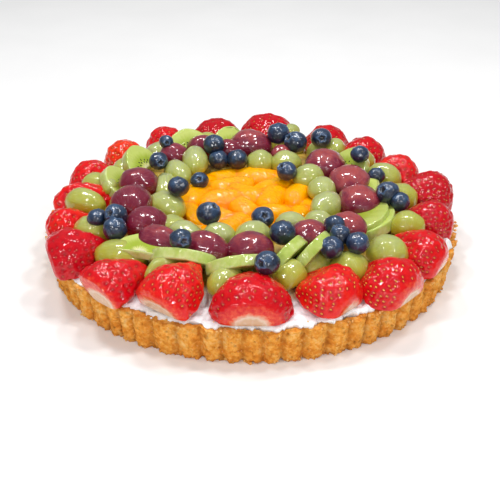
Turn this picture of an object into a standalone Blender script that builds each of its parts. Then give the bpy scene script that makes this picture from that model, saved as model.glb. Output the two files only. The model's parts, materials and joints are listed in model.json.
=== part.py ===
"""Fruit tart: a fluted shortcrust shell filled with cream and covered with rings of cut fruit.

Metres, +Z up. The origin is the middle of the flat underside. Azimuths are degrees
anticlockwise from +X, seen from above. Every fruit is a convex solid; where two would
meet, both are pressed flat against one plane, as soft cut fruit is. Fruits of one node
run into each other and are joined; fruits of different nodes keep a hair's gap.
"""

import math
from dataclasses import dataclass

import bmesh
import bpy
import numpy as np
from mathutils import Matrix, Vector

MM = 0.001
GAP = 0.3 * MM  # clear space between two pieces that touch
MERGE = 0.8 * MM  # depth by which fruits of one node run into each other
CONTACT = 1.3 * MM  # how far they are pushed into each other before the meeting faces are cut

# Crust: shortcrust pressed into a fluted tin that widens a little towards the rim.
FLUTES = 66
COLUMNS_PER_FLUTE = 4
RIM_RADIUS = 138.4 * MM  # crest of a flute at the rim
BASE_RADIUS = 135.4 * MM  # crest of a flute at the base
FLUTE_DEPTH = 3.6 * MM
RIM_HEIGHT = 22.6 * MM
RIM_UNEVEN = 0.9 * MM
INNER_RADIUS = 131.5 * MM
FLOOR_THICKNESS = 5.0 * MM

# Cream: level at the rim, mounded under the rings of fruit, dished in the middle.
CREAM_COLUMNS = 38
CREAM_FOOT = FLOOR_THICKNESS + GAP
CREAM_UNEVEN = 1.2 * MM
CREAM_PROFILE_MM = ((131.2, 22.9), (126, 23.6), (117, 26.0), (106, 28.6), (95, 30.2), (88, 31.0), (80, 32.8),
                    (73, 36.0), (62, 35.4), (50, 33.6), (43, 30.6), (22, 30.4))

# Mandarin segments: one heap, a low core with the segments standing out of its top.
HEAP_RADIUS = 45 * MM
HEAP_FOOT = 31.3 * MM
HEAP_TOP = 37 * MM
SEGMENT_SIZE = (31, 17, 11)  # mm
SEGMENT_LIFT = 0.1  # mm, between the core's foot and the cut faces of the segments
SEGMENTS = (  # azimuth, reach (mm), height above the foot (mm), heading
    (0, 0, 0, 20),
    (20, 17, 0, 100),
    (95, 17, 1, 170),
    (160, 19, 0, 70),
    (225, 18, 1, 130),
    (300, 17, 0, 30),
    (5, 36, 0, 85),
    (45, 35, 1, 130),
    (82, 35, 0, 175),
    (122, 36, 1, 215),
    (165, 36, 0, 80),
    (205, 36, 1, 115),
    (243, 36, 0, 160),
    (285, 36, 1, 200),
    (325, 36, 0, 60),
)

# A strawberry lies on the slope of the cream, its cut end at the rim and its tip inwards and up.
STRAWBERRY_FOOT_REACH = 132.0  # mm, where the slope passes the height below
STRAWBERRY_FOOT_LEVEL = 24.3  # mm
REST_LEVEL = 24.1 * MM  # a strawberry that reaches the rim is pressed flat on it at this height

SEED = 7
DIRECTION_COUNT = 400  # ways tried when looking for the one in which two fruits overlap least
MOST_SLIDES = 40

COLOURS = {
    "crust": ((0.60, 0.28, 0.07), 0.85),
    "cream": ((0.86, 0.87, 0.92), 0.55),
    "mandarin": ((1.00, 0.42, 0.01), 0.25),
    "strawberry": ((0.75, 0.02, 0.02), 0.25),
    "green_grape": ((0.44, 0.52, 0.08), 0.20),
    "red_grape": ((0.22, 0.03, 0.06), 0.20),
    "kiwi": ((0.36, 0.55, 0.05), 0.30),
    "blueberry": ((0.02, 0.04, 0.12), 0.45),
}

# How hard each kind is: where two press on each other the softer one gives way more.
FIRMNESS = {
    "blueberry": 12.0,
    "kiwi": 6.0,
    "mandarin": 3.0,
    "red_grape": 2.5,
    "strawberry": 2.0,
    "green_grape": 1.5,
}

# Azimuth, reach from the middle (mm), length, width, height (mm), turn away from pointing inwards,
# how broad the cut shoulder is as a share of the width, and how many degrees the tip is nosed up.
STRAWBERRIES = (
    (-149, 120, 42, 44, 24, -14, 0.75, 13),
    (-129, 120, 41, 42, 23, -20, 0.82, 22),
    (-111, 112.5, 42, 41, 22, -16, 0.85, 26),
    (-90, 114, 38, 52, 24, 0, 0.62, 13),
    (-68, 111, 42, 42, 22, 24, 0.58, 13),
    (-49.5, 121.5, 38, 47, 23, 8, 0.62, 13),
    (-31, 117, 40, 41, 23, 0, 0.58, 13),
    (-11, 115, 36, 35, 22, 9, 0.58, 13),
    (9, 119, 40, 42, 25, -2, 0.58, 13),
    (25, 110, 38, 36, 22, 0, 0.58, 13),
    (44, 112, 38, 36, 22, 0, 0.58, 13),
    (61, 114, 38, 38, 22, 0, 0.58, 13),
    (84, 117, 38, 50, 25, 0, 0.6, 13),
    (103, 115, 38, 44, 22, 0, 0.58, 13),
    (123, 114, 36, 35, 22, 0, 0.58, 13),
    (142, 113, 36, 35, 22, 0, 0.6, 13),
    (162, 113, 38, 38, 22, -4, 0.58, 13),
    (179, 109, 46, 32, 22, 15, 0.58, 13),
    (-164, 117.5, 36, 35, 22, 0, 0.58, 13),
)

# Halved grapes: azimuth, reach, level of the cut face, length, width, height (mm), heading of the length.
OUTER_GREEN = (
    (-136.5, 109, 31.5, 34, 24, 15, -15),
    (-119, 108, 32, 28, 21, 15, 60),
    (-98, 104, 32, 27, 20, 14, 60),
    (-76, 99, 32, 25, 20, 15, 50),
    (-55.5, 104, 30.5, 24, 24, 15, 120),
    (-40.5, 110.5, 34, 26, 25, 15, 20),
    (-21, 107, 35, 20, 24, 14, 90),
    (1, 101, 35, 23, 24, 14, 90),
    (19, 99, 35, 26, 21, 15, -15),
    (37, 98, 35, 25, 20, 15, 0),
    (170, 109, 35, 22, 19, 12, -35),
    (-174, 111, 36, 30, 20, 14, -25),
    (-156, 110, 33, 27, 21, 14, -15),
)

RED = {
    "left": (
        (174, 77, 41, 28, 27, 15, 20),
        (-166, 81, 41, 33, 27, 15, 80),
        (-145, 80, 38, 27, 30, 15, -15),
        (-128, 89, 39, 32, 22, 14, -30),
        (-107, 80, 38, 32, 23, 15, -25),
        (-84, 78, 39, 29, 26, 15, 10),
    ),
    "front_right": ((-58, 70, 38, 28, 24, 15, 0), (-40, 81, 41, 26, 24, 14, 10)),
    "right": ((-10, 73, 39, 31, 30, 15, 80), (16, 70, 40, 33, 29, 15, 80), (41, 66, 41, 29, 30, 16, 0)),
    "back": ((90.5, 76, 39, 33, 26, 17, 0),),
    "back_left": ((134, 81, 38, 22, 22, 15, -40),),
}

INNER_GREEN = {
    "left": (
        (130, 63, 40, 33, 19, 14, 95),
        (152, 61, 37, 27, 18, 13, -60),
        (175, 61, 38, 32, 17, 12, 90),
        (-159, 59, 36, 29, 22, 14, -40),
    ),
    "front": ((-126, 70, 37, 25, 20, 13, -30), (-109, 61, 37, 22, 19, 13, 0), (-89, 57, 37, 25, 20, 14, 35)),
    "front_right": (
        (-59, 50, 37, 22, 19, 13, 0),
        (-40, 57, 36, 21, 19, 12, 0),
        (-20, 53, 39, 27, 19, 13, 60),
    ),
    "right": ((8, 49, 39, 24, 20, 12, 80), (30, 47, 39, 24, 20, 14, 30)),
    "back": ((64, 58, 37, 23, 20, 13, 0), (83, 54, 37, 21, 20, 13, 90)),
}

# Half slices of kiwi leaning outwards on the grapes: azimuth, reach, level of the middle (mm),
# depth, width, thickness (mm), heading of the arc, lean of the slice.
KIWI = {
    "front_left": ((-115, 99.5, 41.5, 19, 43, 7.5, -100, 45),),
    "front": ((-93.5, 97.5, 41.5, 19, 42, 7.5, -78, 45),),
    "front_right": ((-73.3, 89.5, 43.6, 20, 38, 8, -32, 60),),
    "front_right_inner": ((-62.3, 91, 43.6, 20, 36, 8, -32, 60),),
    "right": ((-20.8, 89, 36.4, 22, 50, 5, -20, 15), (-21.6, 82.8, 40.3, 22, 50, 5, -20, 15)),
    "back_right": ((32, 88, 43, 20, 32, 6, 40, 45),),
    "back": ((101, 89, 43.5, 19, 28, 6, 100, 45),),
    "back_left": ((121, 95, 43, 20, 36, 6, 118, 45),),
    "left": ((149, 98, 42, 20, 30, 6, 146, 45),),
    "left_low": ((171, 98, 42, 20, 30, 6, 167, 45),),
}

# Blueberries that lie against each other: azimuth, reach, level of the lowest point, width (mm).
BLUEBERRY_CLUSTERS = {
    "front_right": (
        (-50.7, 81, 46, 13.4),
        (-54.8, 94.3, 44.5, 14),
        (-50.8, 105.5, 42, 15),
        (-64, 101.5, 40.5, 15),
    ),
    "right": ((-8.7, 91.4, 42, 17), (-11.2, 99.2, 39.8, 14.4)),
    "back_right": ((75.6, 80.1, 45, 17.4), (63.8, 77, 41, 17.6)),
    "back_left": ((115.6, 62.3, 45.3, 16.4), (116.5, 52.8, 38.5, 15), (100.1, 48.6, 38, 16)),
    "left": ((-150, 98, 43.8, 15.4), (-144.2, 103.7, 40, 16)),
}


@dataclass
class Fruit:
    """One piece of fruit as a convex solid: the node it belongs to and its hull in world space."""

    kind: str
    node: str
    hull: bmesh.types.BMesh

    def points(self):
        return np.array([vertex.co for vertex in self.hull.verts])

    def normals(self):
        return np.array([face.normal for face in self.hull.faces])

    def keep_below(self, normal, offset):
        """Cuts away what lies beyond the plane normal . x = offset, and closes the cut."""
        everything = list(self.hull.verts) + list(self.hull.edges) + list(self.hull.faces)
        cut = bmesh.ops.bisect_plane(
            self.hull, geom=everything, dist=1e-7, plane_co=normal * offset, plane_no=normal, clear_outer=True
        )
        rim = [part for part in cut["geom_cut"] if isinstance(part, bmesh.types.BMEdge)]
        if rim:
            bmesh.ops.edgeloop_fill(self.hull, edges=rim)
        bmesh.ops.recalc_face_normals(self.hull, faces=self.hull.faces)


def hull_of(points):
    """The convex hull of an array of points, with flat regions merged into one face each."""
    hull = bmesh.new()
    for point in points:
        hull.verts.new(point)
    made = bmesh.ops.convex_hull(hull, input=list(hull.verts))
    loose = made["geom_interior"] + made["geom_unused"]
    spare = {part for part in loose if isinstance(part, bmesh.types.BMVert)}
    bmesh.ops.delete(hull, geom=list(spare), context="VERTS")
    bmesh.ops.dissolve_limit(
        hull, angle_limit=math.radians(0.5), verts=list(hull.verts), edges=list(hull.edges), delimit=set()
    )
    bmesh.ops.recalc_face_normals(hull, faces=list(hull.faces))
    return hull


def strawberry_points(length, width, height, shoulder):
    """A hulled strawberry cut lengthwise: flat shoulder at -X, blunt tip at +X."""
    along = np.array([0.0, 0.07, 0.2, 0.4, 0.62, 0.82, 0.95])
    swell = shoulder + (1.0 - shoulder) * np.sin(np.minimum(along / 0.36, 1.0) * math.pi / 2)
    girth = swell * (1.0 - along**2.3) ** 0.72
    around = np.linspace(0.0, math.pi, 7)
    x = (along - 0.5) * length
    y = np.outer(girth, np.cos(around)) * width / 2
    z = np.outer(girth, np.sin(around)) * height
    rows = np.stack([np.repeat(x[:, None], len(around), 1), y, z], -1).reshape(-1, 3)
    tip = [[length / 2, 0.0, 0.0], [length / 2, 0.0, height * 0.14]]
    return np.concatenate([rows, tip])


def grape_points(length, width, height, rings=5, spokes=6):
    """A grape cut lengthwise: half an egg, a little fuller at -X."""
    along = np.linspace(0.0, math.pi, rings + 2)[1:-1]
    around = np.linspace(0.0, math.pi, spokes)
    x = -np.cos(along) * length / 2
    girth = np.sin(along) * (1.0 + 0.08 * np.cos(along))
    y = np.outer(girth, np.cos(around)) * width / 2
    z = np.outer(girth, np.sin(around)) * height
    rows = np.stack([np.repeat(x[:, None], len(around), 1), y, z], -1).reshape(-1, 3)
    ends = [[-length / 2, 0.0, 0.0], [length / 2, 0.0, 0.0]]
    return np.concatenate([rows, ends])


def kiwi_points(length, width, height):
    """Half a peeled kiwi slice lying flat: a D with its arc towards +X, height thick."""
    around = np.linspace(-math.pi / 2, math.pi / 2, 11)
    arc = np.stack([np.cos(around) * length - length / 2, np.sin(around) * width / 2], -1)
    layers = [np.column_stack([arc, np.full(len(arc), z)]) for z in (0.0, height)]
    return np.concatenate(layers)


def berry_points(length, width, height):
    """A whole berry, round and a little flattened; its origin is its lowest point."""
    around = np.linspace(0.0, 2 * math.pi, 9)[:-1]
    rows = []
    for up in (-0.72, -0.1, 0.55):
        ring = math.sqrt(1 - up * up)
        rows.append(np.column_stack([ring * np.cos(around + up), ring * np.sin(around + up), np.full(8, up)]))
    poles = [[0.0, 0.0, -1.0], [0.0, 0.0, 1.0]]
    ball = np.concatenate(rows + [np.array(poles)])
    return (ball + (0.0, 0.0, 1.0)) * (length / 2, width / 2, height / 2)


def heap_core_points(radius, foot, top):
    """The low round core of a heap: its side bulges a little above its foot."""
    around = np.linspace(0.0, 2 * math.pi, 25)[:-1]
    rows = []
    for share, lift in ((0.93, 0.0), (1.0, 0.4), (0.86, 0.8), (0.5, 1.0)):
        ring = radius * share
        level = np.full(24, foot + lift * (top - foot))
        rows.append(np.column_stack([ring * np.cos(around), ring * np.sin(around), level]))
    return np.concatenate(rows)


def place(points_mm, azimuth, reach, level, heading, lean=0.0):
    """Hull of local points (mm) at a polar spot (mm), turned about Z by heading, nosed up by lean."""
    turn = math.radians(azimuth)
    spot = Vector((reach * math.cos(turn), reach * math.sin(turn), level)) * MM
    matrix = (
        Matrix.Translation(spot)
        @ Matrix.Rotation(math.radians(heading), 4, "Z")
        @ Matrix.Rotation(-math.radians(lean), 4, "Y")
    )
    hull = hull_of(points_mm * MM)
    bmesh.ops.transform(hull, matrix=matrix, verts=hull.verts)
    return hull


def all_fruit():
    """Every piece of fruit as laid down, before the pieces are pressed against each other."""
    fruit = [Fruit("mandarin", "mandarin_heap", hull_of(heap_core_points(HEAP_RADIUS, HEAP_FOOT, HEAP_TOP)))]
    for azimuth, reach, lift, heading in SEGMENTS:
        points = grape_points(*SEGMENT_SIZE, rings=4, spokes=5)
        hull = place(points, azimuth, reach, HEAP_FOOT / MM + SEGMENT_LIFT + lift, heading)
        fruit.append(Fruit("mandarin", "mandarin_heap", hull))
    for index, (azimuth, reach, length, width, height, turn, shoulder, lean) in enumerate(STRAWBERRIES, 1):
        level = STRAWBERRY_FOOT_LEVEL + (STRAWBERRY_FOOT_REACH - reach) * math.tan(math.radians(lean))
        points = strawberry_points(length, width, height, shoulder)
        hull = place(points, azimuth, reach, level, azimuth + 180 + turn, lean)
        strawberry = Fruit("strawberry", f"strawberry_{index:02d}", hull)
        strawberry.keep_below(Vector((0.0, 0.0, -1.0)), -REST_LEVEL)
        fruit.append(strawberry)
    for side, row in KIWI.items():
        for azimuth, reach, level, length, width, height, heading, lean in row:
            hull = place(kiwi_points(length, width, height), azimuth, reach, level, heading, lean)
            fruit.append(Fruit("kiwi", f"kiwi_slices_{side}", hull))
    for index, (azimuth, reach, level, length, width, height, heading) in enumerate(OUTER_GREEN, 1):
        hull = place(grape_points(length, width, height), azimuth, reach, level, heading)
        fruit.append(Fruit("green_grape", f"green_grape_outer_{index:02d}", hull))
    runs_of_grapes = (
        ("red_grape", "red_grapes", RED),
        ("green_grape", "green_grapes_inner", INNER_GREEN),
    )
    for kind, name, runs in runs_of_grapes:
        for side, row in runs.items():
            for azimuth, reach, level, length, width, height, heading in row:
                hull = place(grape_points(length, width, height), azimuth, reach, level, heading)
                fruit.append(Fruit(kind, f"{name}_{side}", hull))
    for side, row in BLUEBERRY_CLUSTERS.items():
        for azimuth, reach, level, width in row:
            hull = place(berry_points(width, width, width * 0.93), azimuth, reach, level, azimuth)
            fruit.append(Fruit("blueberry", f"blueberries_{side}", hull))
    return fruit


def directions_all_round(count):
    """Unit vectors spread evenly over a sphere along a spiral that turns by the golden angle."""
    step = np.arange(count) + 0.5
    up = 1.0 - 2.0 * step / count
    turn = step * math.pi * (3.0 - math.sqrt(5.0))
    ring = np.sqrt(1.0 - up * up)
    return np.column_stack([ring * np.cos(turn), ring * np.sin(turn), up])


DIRECTIONS = directions_all_round(DIRECTION_COUNT)


def shallowest(first, second):
    """(depth, normal, low, high): the direction in which two convex solids overlap least.

    Along normal, first reaches up to high and second starts at low.
    """
    ours, theirs = first.points(), second.points()
    directions = np.concatenate([first.normals(), -second.normals(), DIRECTIONS])
    high = (directions @ ours.T).max(axis=1)
    low = (directions @ theirs.T).min(axis=1)
    best = int(np.argmin(high - low))
    return high[best] - low[best], Vector(directions[best]), low[best], high[best]


def close_ranks(fruit):
    """Slides each fruit of a joined node towards the nearest one before it until they run into each other."""
    for index, second in enumerate(fruit):
        mates = [first for first in fruit[:index] if first.node == second.node]
        if not mates or second.kind == "mandarin":
            continue
        nearest = max(mates, key=lambda first: shallowest(first, second)[0])
        for _ in range(MOST_SLIDES):
            depth = shallowest(nearest, second)[0]
            if depth >= CONTACT:
                break
            way = Vector(nearest.points().mean(axis=0) - second.points().mean(axis=0)).normalized()
            bmesh.ops.translate(second.hull, vec=way * (CONTACT - depth), verts=list(second.hull.verts))


def press_together(fruit):
    """Presses every pair that meets flat against one plane, shared out by firmness."""
    for index, first in enumerate(fruit):
        for second in fruit[index + 1 :]:
            if first.kind == second.kind == "mandarin":
                continue
            space = -MERGE if first.node == second.node else GAP
            depth, normal, low, high = shallowest(first, second)
            if depth <= -space:
                continue
            share = FIRMNESS[first.kind] / (FIRMNESS[first.kind] + FIRMNESS[second.kind])
            middle = low + depth * share
            first.keep_below(normal, middle - space / 2)
            second.keep_below(-normal, -(middle + space / 2))


def material(name):
    """Principled material of one kind of piece."""
    made = bpy.data.materials.get(name)
    if made:
        return made
    colour, roughness = COLOURS[name]
    made = bpy.data.materials.new(name)
    made.use_nodes = True
    made.diffuse_color = (*colour, 1.0)
    shader = made.node_tree.nodes["Principled BSDF"]
    shader.inputs["Base Color"].default_value = (*colour, 1.0)
    shader.inputs["Roughness"].default_value = roughness
    shader.inputs["Metallic"].default_value = 0.0
    return made


def add_object(name, kind, shape, origin=None):
    """Makes an object of a bmesh in world space, with its own origin, smooth shading and a material."""
    if origin is None:
        points = np.array([vertex.co for vertex in shape.verts])
        origin = Vector((points.min(axis=0) + points.max(axis=0)) / 2)
    bmesh.ops.translate(shape, vec=-origin, verts=list(shape.verts))
    bmesh.ops.dissolve_degenerate(shape, dist=0.02 * MM, edges=list(shape.edges))
    bmesh.ops.triangulate(shape, faces=list(shape.faces))
    mesh = bpy.data.meshes.new(name)
    shape.to_mesh(mesh)
    shape.free()
    mesh.shade_smooth()
    mesh.set_sharp_from_angle(angle=math.radians(38))
    mesh.materials.append(material(kind))
    thing = bpy.data.objects.new(name, mesh)
    thing.location = origin
    bpy.context.scene.collection.objects.link(thing)
    return thing


def add_fruit(fruit):
    """One object for each node; the other fruits of a joined node are united with the first."""
    made = {}
    for piece in fruit:
        if piece.node not in made:
            made[piece.node] = add_object(piece.node, piece.kind, piece.hull)
            continue
        helper = add_object(f"{piece.node}_joined", piece.kind, piece.hull)
        helper.hide_render = True
        helper.display_type = "WIRE"
        union = made[piece.node].modifiers.new("joined", "BOOLEAN")
        union.operation = "UNION"
        union.object = helper


def flute(turn):
    """How far the wall lies inside its crest at an angle (radians): 0 on the crest, 1 in the crease.

    Each flute is a round bulge, so the creases between them are sharp: 1 - |sin| of half the flute's turn.
    """
    return 1.0 - np.abs(np.sin(turn * FLUTES / 2))


def wave(turn, seed, count=9, lowest=2):
    """A smooth uneven curve round the tart between about -1 and 1: a sum of seeded sine waves."""
    random = np.random.default_rng(seed)
    height = np.zeros_like(turn)
    for step in range(count):
        height += np.sin(turn * (lowest + 2 * step + random.integers(0, 3)) + random.uniform(0, 2 * math.pi))
    return height / math.sqrt(count * 2)


def ring(radius, level, turn):
    """Points of one ring: radius and level may each be one value or one for each angle."""
    return np.column_stack([radius * np.cos(turn), radius * np.sin(turn), np.broadcast_to(level, turn.shape)])


def bridge(shape, lower, upper):
    """Faces between two rings of vertices; the lower one may have a whole number of times as many."""
    ratio = len(lower) // len(upper)
    count = len(lower)
    for index in range(count):
        after = (index + 1) % count
        near, far = upper[index // ratio], upper[(index // ratio + 1) % len(upper)]
        if (index + 1) % ratio == 0:
            shape.faces.new((lower[index], lower[after], far, near))
        else:
            shape.faces.new((lower[index], lower[after], near))


def cap(shape, rim, centre):
    """A fan from a ring of vertices to a middle point."""
    middle = shape.verts.new(centre)
    for index, vertex in enumerate(rim):
        shape.faces.new((vertex, rim[(index + 1) % len(rim)], middle))


def closed(shape):
    """Triangulates a closed body and turns its faces outwards."""
    bmesh.ops.triangulate(shape, faces=list(shape.faces))
    bmesh.ops.recalc_face_normals(shape, faces=list(shape.faces))
    return shape


def crust():
    """The shell: fluted outside, round inside, with a flat floor and an uneven rim."""
    fine = np.arange(FLUTES * COLUMNS_PER_FLUTE) / (FLUTES * COLUMNS_PER_FLUTE) * 2 * math.pi
    coarse = np.arange(FLUTES) / FLUTES * 2 * math.pi
    rim_level = RIM_HEIGHT + RIM_UNEVEN * wave(fine, SEED)
    inner_level = RIM_HEIGHT + RIM_UNEVEN * wave(coarse, SEED) - 0.4 * MM
    shape = bmesh.new()
    rows = [
        ring(BASE_RADIUS - FLUTE_DEPTH * flute(fine), 0.0, fine),
        ring(RIM_RADIUS - FLUTE_DEPTH * flute(fine), rim_level, fine),
        ring(INNER_RADIUS, inner_level, coarse),
        ring(INNER_RADIUS, FLOOR_THICKNESS, coarse),
    ]
    loops = [[shape.verts.new(point) for point in row] for row in rows]
    for lower, upper in zip(loops, loops[1:]):
        bridge(shape, lower, upper)
    cap(shape, loops[-1], (0.0, 0.0, FLOOR_THICKNESS))
    cap(shape, loops[0], (0.0, 0.0, 0.0))
    add_object("crust", "crust", closed(shape), Vector((0.0, 0.0, 0.0)))


def cream():
    """The filling: its top falls from the mound to the rim, with shallow dips all over."""
    turn = np.arange(CREAM_COLUMNS) / CREAM_COLUMNS * 2 * math.pi
    edge = CREAM_PROFILE_MM[0][0] * MM
    shape = bmesh.new()
    rows = [ring(edge, CREAM_FOOT, turn)]
    for index, (radius, level) in enumerate(CREAM_PROFILE_MM):
        dip = CREAM_UNEVEN * np.abs(wave(turn, SEED + 10 + index, lowest=5))
        rows.append(ring(radius * MM, level * MM - dip, turn))
    loops = [[shape.verts.new(point) for point in row] for row in rows]
    for lower, upper in zip(loops, loops[1:]):
        bridge(shape, lower, upper)
    cap(shape, loops[-1], (0.0, 0.0, CREAM_PROFILE_MM[-1][1] * MM))
    cap(shape, loops[0], (0.0, 0.0, CREAM_FOOT))
    add_object("cream", "cream", closed(shape), Vector((0.0, 0.0, 0.0)))


def main():
    for thing in list(bpy.data.objects):
        bpy.data.objects.remove(thing, do_unlink=True)
    crust()
    cream()
    fruit = all_fruit()
    close_ranks(fruit)
    press_together(fruit)
    add_fruit(fruit)


main()
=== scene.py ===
"""Looks of a glazed fruit tart: pastry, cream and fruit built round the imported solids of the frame.

Everything is in metres in the frame's axes; the sizes in classes named ..._mm are millimetres.
Each fruit is read back from its solid as a convex body, then made smooth and dressed.
"""

import json
import logging
import math
from dataclasses import dataclass, field, replace
from enum import Enum

import bmesh
import bpy
import numpy as np
from mathutils import Matrix, Vector

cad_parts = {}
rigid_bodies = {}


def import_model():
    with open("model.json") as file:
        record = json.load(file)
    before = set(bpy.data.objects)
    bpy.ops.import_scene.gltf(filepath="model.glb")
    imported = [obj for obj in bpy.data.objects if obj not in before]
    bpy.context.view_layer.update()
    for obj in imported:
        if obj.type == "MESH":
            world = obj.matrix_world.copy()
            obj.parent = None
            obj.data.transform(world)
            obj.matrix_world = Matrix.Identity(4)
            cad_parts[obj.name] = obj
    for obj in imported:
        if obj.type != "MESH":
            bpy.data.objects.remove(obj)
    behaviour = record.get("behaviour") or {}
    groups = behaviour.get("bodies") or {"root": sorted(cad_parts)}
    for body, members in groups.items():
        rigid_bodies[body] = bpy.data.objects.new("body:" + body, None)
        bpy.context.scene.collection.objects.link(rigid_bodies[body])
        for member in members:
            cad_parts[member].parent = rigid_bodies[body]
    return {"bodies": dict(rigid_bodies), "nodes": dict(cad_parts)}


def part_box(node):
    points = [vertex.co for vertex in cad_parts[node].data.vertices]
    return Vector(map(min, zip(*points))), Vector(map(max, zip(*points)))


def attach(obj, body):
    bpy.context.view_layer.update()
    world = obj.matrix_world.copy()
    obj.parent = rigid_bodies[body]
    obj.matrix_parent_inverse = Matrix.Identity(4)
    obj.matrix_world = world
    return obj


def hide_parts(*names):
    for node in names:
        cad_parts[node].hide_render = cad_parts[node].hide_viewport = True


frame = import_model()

for startup_thing in set(bpy.data.objects) - set(frame["nodes"].values()) - set(frame["bodies"].values()):
    bpy.data.objects.remove(startup_thing, do_unlink=True)
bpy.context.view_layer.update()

MM = 0.001
BODY = "root"
CREAM_LEVEL = 29.0 * MM
UP = np.array([0.0, 0.0, 1.0])
FIRST = np.array([1.0, 0.0, 0.0])
SMALLEST_FACE = 2e-8  # m2; slivers of a hull below it have no sure direction
INWARD_CREASE = -0.12  # sine of the bend past which an edge parts two fruits
UNDERSIDE = -0.999  # upward share of the normal of a flat underside
LEAST_SHARE = 0.04  # of the node's surface, below which a group is no fruit
LEAST_TRIANGLES = 8
LEAST_COSINE = 1e-9  # between a way and the normal of a plane, below which the way never meets it
GOLDEN_ANGLE = math.pi * (3.0 - math.sqrt(5.0))
LOG = logging.getLogger("fruit_tart")
Stops = tuple[tuple[float, str], ...]  # places and hex colours of a ramp
Table = tuple[tuple[float, ...], ...]  # rows of numbers, whose columns a comment names


class Kind(Enum):
    """The kinds of fruit on the tart; the value is the record's material slot."""

    STRAWBERRY = "strawberry"
    GREEN_GRAPE = "green_grape"
    RED_GRAPE = "red_grape"
    KIWI = "kiwi"
    BLUEBERRY = "blueberry"
    MANDARIN = "mandarin"


# ---------------------------------------------------------------- numbers and surfaces


def unit(vectors: np.ndarray) -> np.ndarray:
    """Vectors scaled to length one along their last axis."""
    return vectors / np.linalg.norm(vectors, axis=-1, keepdims=True)


def smooth_step(low: float, high: float, values: np.ndarray) -> np.ndarray:
    """0 below low, 1 above high, and 3t^2 - 2t^3 between them."""
    share = np.clip((values - low) / (high - low), 0.0, 1.0)
    return share * share * (3.0 - 2.0 * share)


def waves(points: np.ndarray, size: float, seed: int, count: int = 16) -> np.ndarray:
    """Smooth unevenness with a spread of about one: a sum of sine waves in seeded directions.

    Args:
        points: Places (n, 3), in any unit.
        size: Mean length of a wave, in the same unit.
        seed: Seed of the directions and phases.
        count: How many waves are added.

    Returns:
        One value for each place.
    """
    random = np.random.default_rng(seed)
    ways = unit(random.normal(size=(count, 3))) * random.uniform(0.7, 1.5, (count, 1)) * 2 * math.pi / size
    phases = random.uniform(0.0, 2 * math.pi, count)
    return np.sin(points @ ways.T + phases).sum(axis=1) / math.sqrt(count / 2)


def ripples(points: np.ndarray, table: Table) -> np.ndarray:
    """Waves of several lengths together: each row is a height, a length, a seed and perhaps a count."""
    return sum(high * waves(points, *row) for high, *row in table)


def circle(columns: int) -> tuple[np.ndarray, np.ndarray]:
    """Even angles round a circle, and the level unit direction (columns, 3) of each."""
    turn = np.arange(columns) / columns * 2 * math.pi
    return turn, np.column_stack([np.cos(turn), np.sin(turn), np.zeros(columns)])


def polar(azimuth: np.ndarray | float, reach: np.ndarray | float, level: np.ndarray | float) -> np.ndarray:
    """Places in metres at azimuths in degrees, with reach and level in millimetres.

    Args:
        azimuth: Degrees round from +X.
        reach: Distance from the middle.
        level: Height.

    Returns:
        Places (..., 3).
    """
    turn = np.radians(azimuth)
    spots = np.broadcast_arrays(reach * np.cos(turn), reach * np.sin(turn), level)
    return np.stack(spots, axis=-1) * MM


def direction(azimuth: float, rise: float) -> np.ndarray:
    """Unit direction at an azimuth and a rise above level, both in degrees."""
    turn, up = math.radians(azimuth), math.radians(rise)
    return np.array([math.cos(turn) * math.cos(up), math.sin(turn) * math.cos(up), math.sin(up)])


def spread_ways(count: int) -> np.ndarray:
    """Evenly spread unit directions: equal steps up, a golden angle apart round.

    Args:
        count: How many.

    Returns:
        Directions (count, 3).
    """
    step = np.arange(count) + 0.5
    up = 1.0 - 2.0 * step / count
    ring = np.sqrt(1.0 - up * up)
    return np.column_stack([ring * np.cos(step * GOLDEN_ANGLE), ring * np.sin(step * GOLDEN_ANGLE), up])


def ball_ways(rows: int, columns: int, axis: np.ndarray) -> np.ndarray:
    """Unit directions of a ball grid with its poles on axis.

    The direction at polar angle a and turn t is axis cos a + side sin a cos t + front sin a sin t;
    the first and last rows are single poles.

    Args:
        rows: Number of rings between the poles.
        columns: Number of points in a ring.
        axis: Unit direction of the first pole.

    Returns:
        Directions (2 + rows * columns, 3): first pole, rings, last pole.
    """
    side, front = square_to(axis)
    lean = np.repeat(np.arange(1, rows + 1) / (rows + 1) * math.pi, columns)
    turn = np.tile(np.arange(columns) / columns * 2 * math.pi, rows)
    ring = np.sin(lean)[:, None] * (np.cos(turn)[:, None] * side + np.sin(turn)[:, None] * front)
    return np.vstack([axis, np.cos(lean)[:, None] * axis + ring, -axis])


def square_to(axis: np.ndarray) -> tuple[np.ndarray, np.ndarray]:
    """Two unit directions square to axis and to each other; the second one points as far up as it can."""
    side = unit(np.cross(UP if abs(axis[2]) < 0.95 else FIRST, axis))
    return side, np.cross(axis, side)


def ball_faces(rows: int, columns: int) -> list[np.ndarray]:
    """Faces of a ball grid: a fan of triangles at each pole and quads between the rings.

    Args:
        rows: Number of rings between the poles.
        columns: Number of points in a ring.

    Returns:
        Arrays of vertex indices, one of triangles and one of quads, all facing outwards.
    """
    column = np.arange(columns)
    after = (column + 1) % columns
    last = 1 + (rows - 1) * columns
    top = np.stack([np.zeros(columns, int), 1 + column, 1 + after], axis=1)
    foot = np.stack([np.full(columns, last + columns), last + after, last + column], axis=1)
    starts = 1 + np.repeat(np.arange(rows - 1) * columns, columns)
    near, far = starts + np.tile(column, rows - 1), starts + np.tile(after, rows - 1)
    quads = np.stack([near, near + columns, far + columns, far], axis=1)
    return [np.vstack([top, foot]), quads]


def copies(faces: list[np.ndarray], size: int, count: int) -> list[np.ndarray]:
    """The faces of a small surface of size vertices, said again for each of count copies."""
    starts = np.arange(count) * size
    return [(starts[:, None, None] + array[None]).reshape(-1, array.shape[1]) for array in faces]


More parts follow.
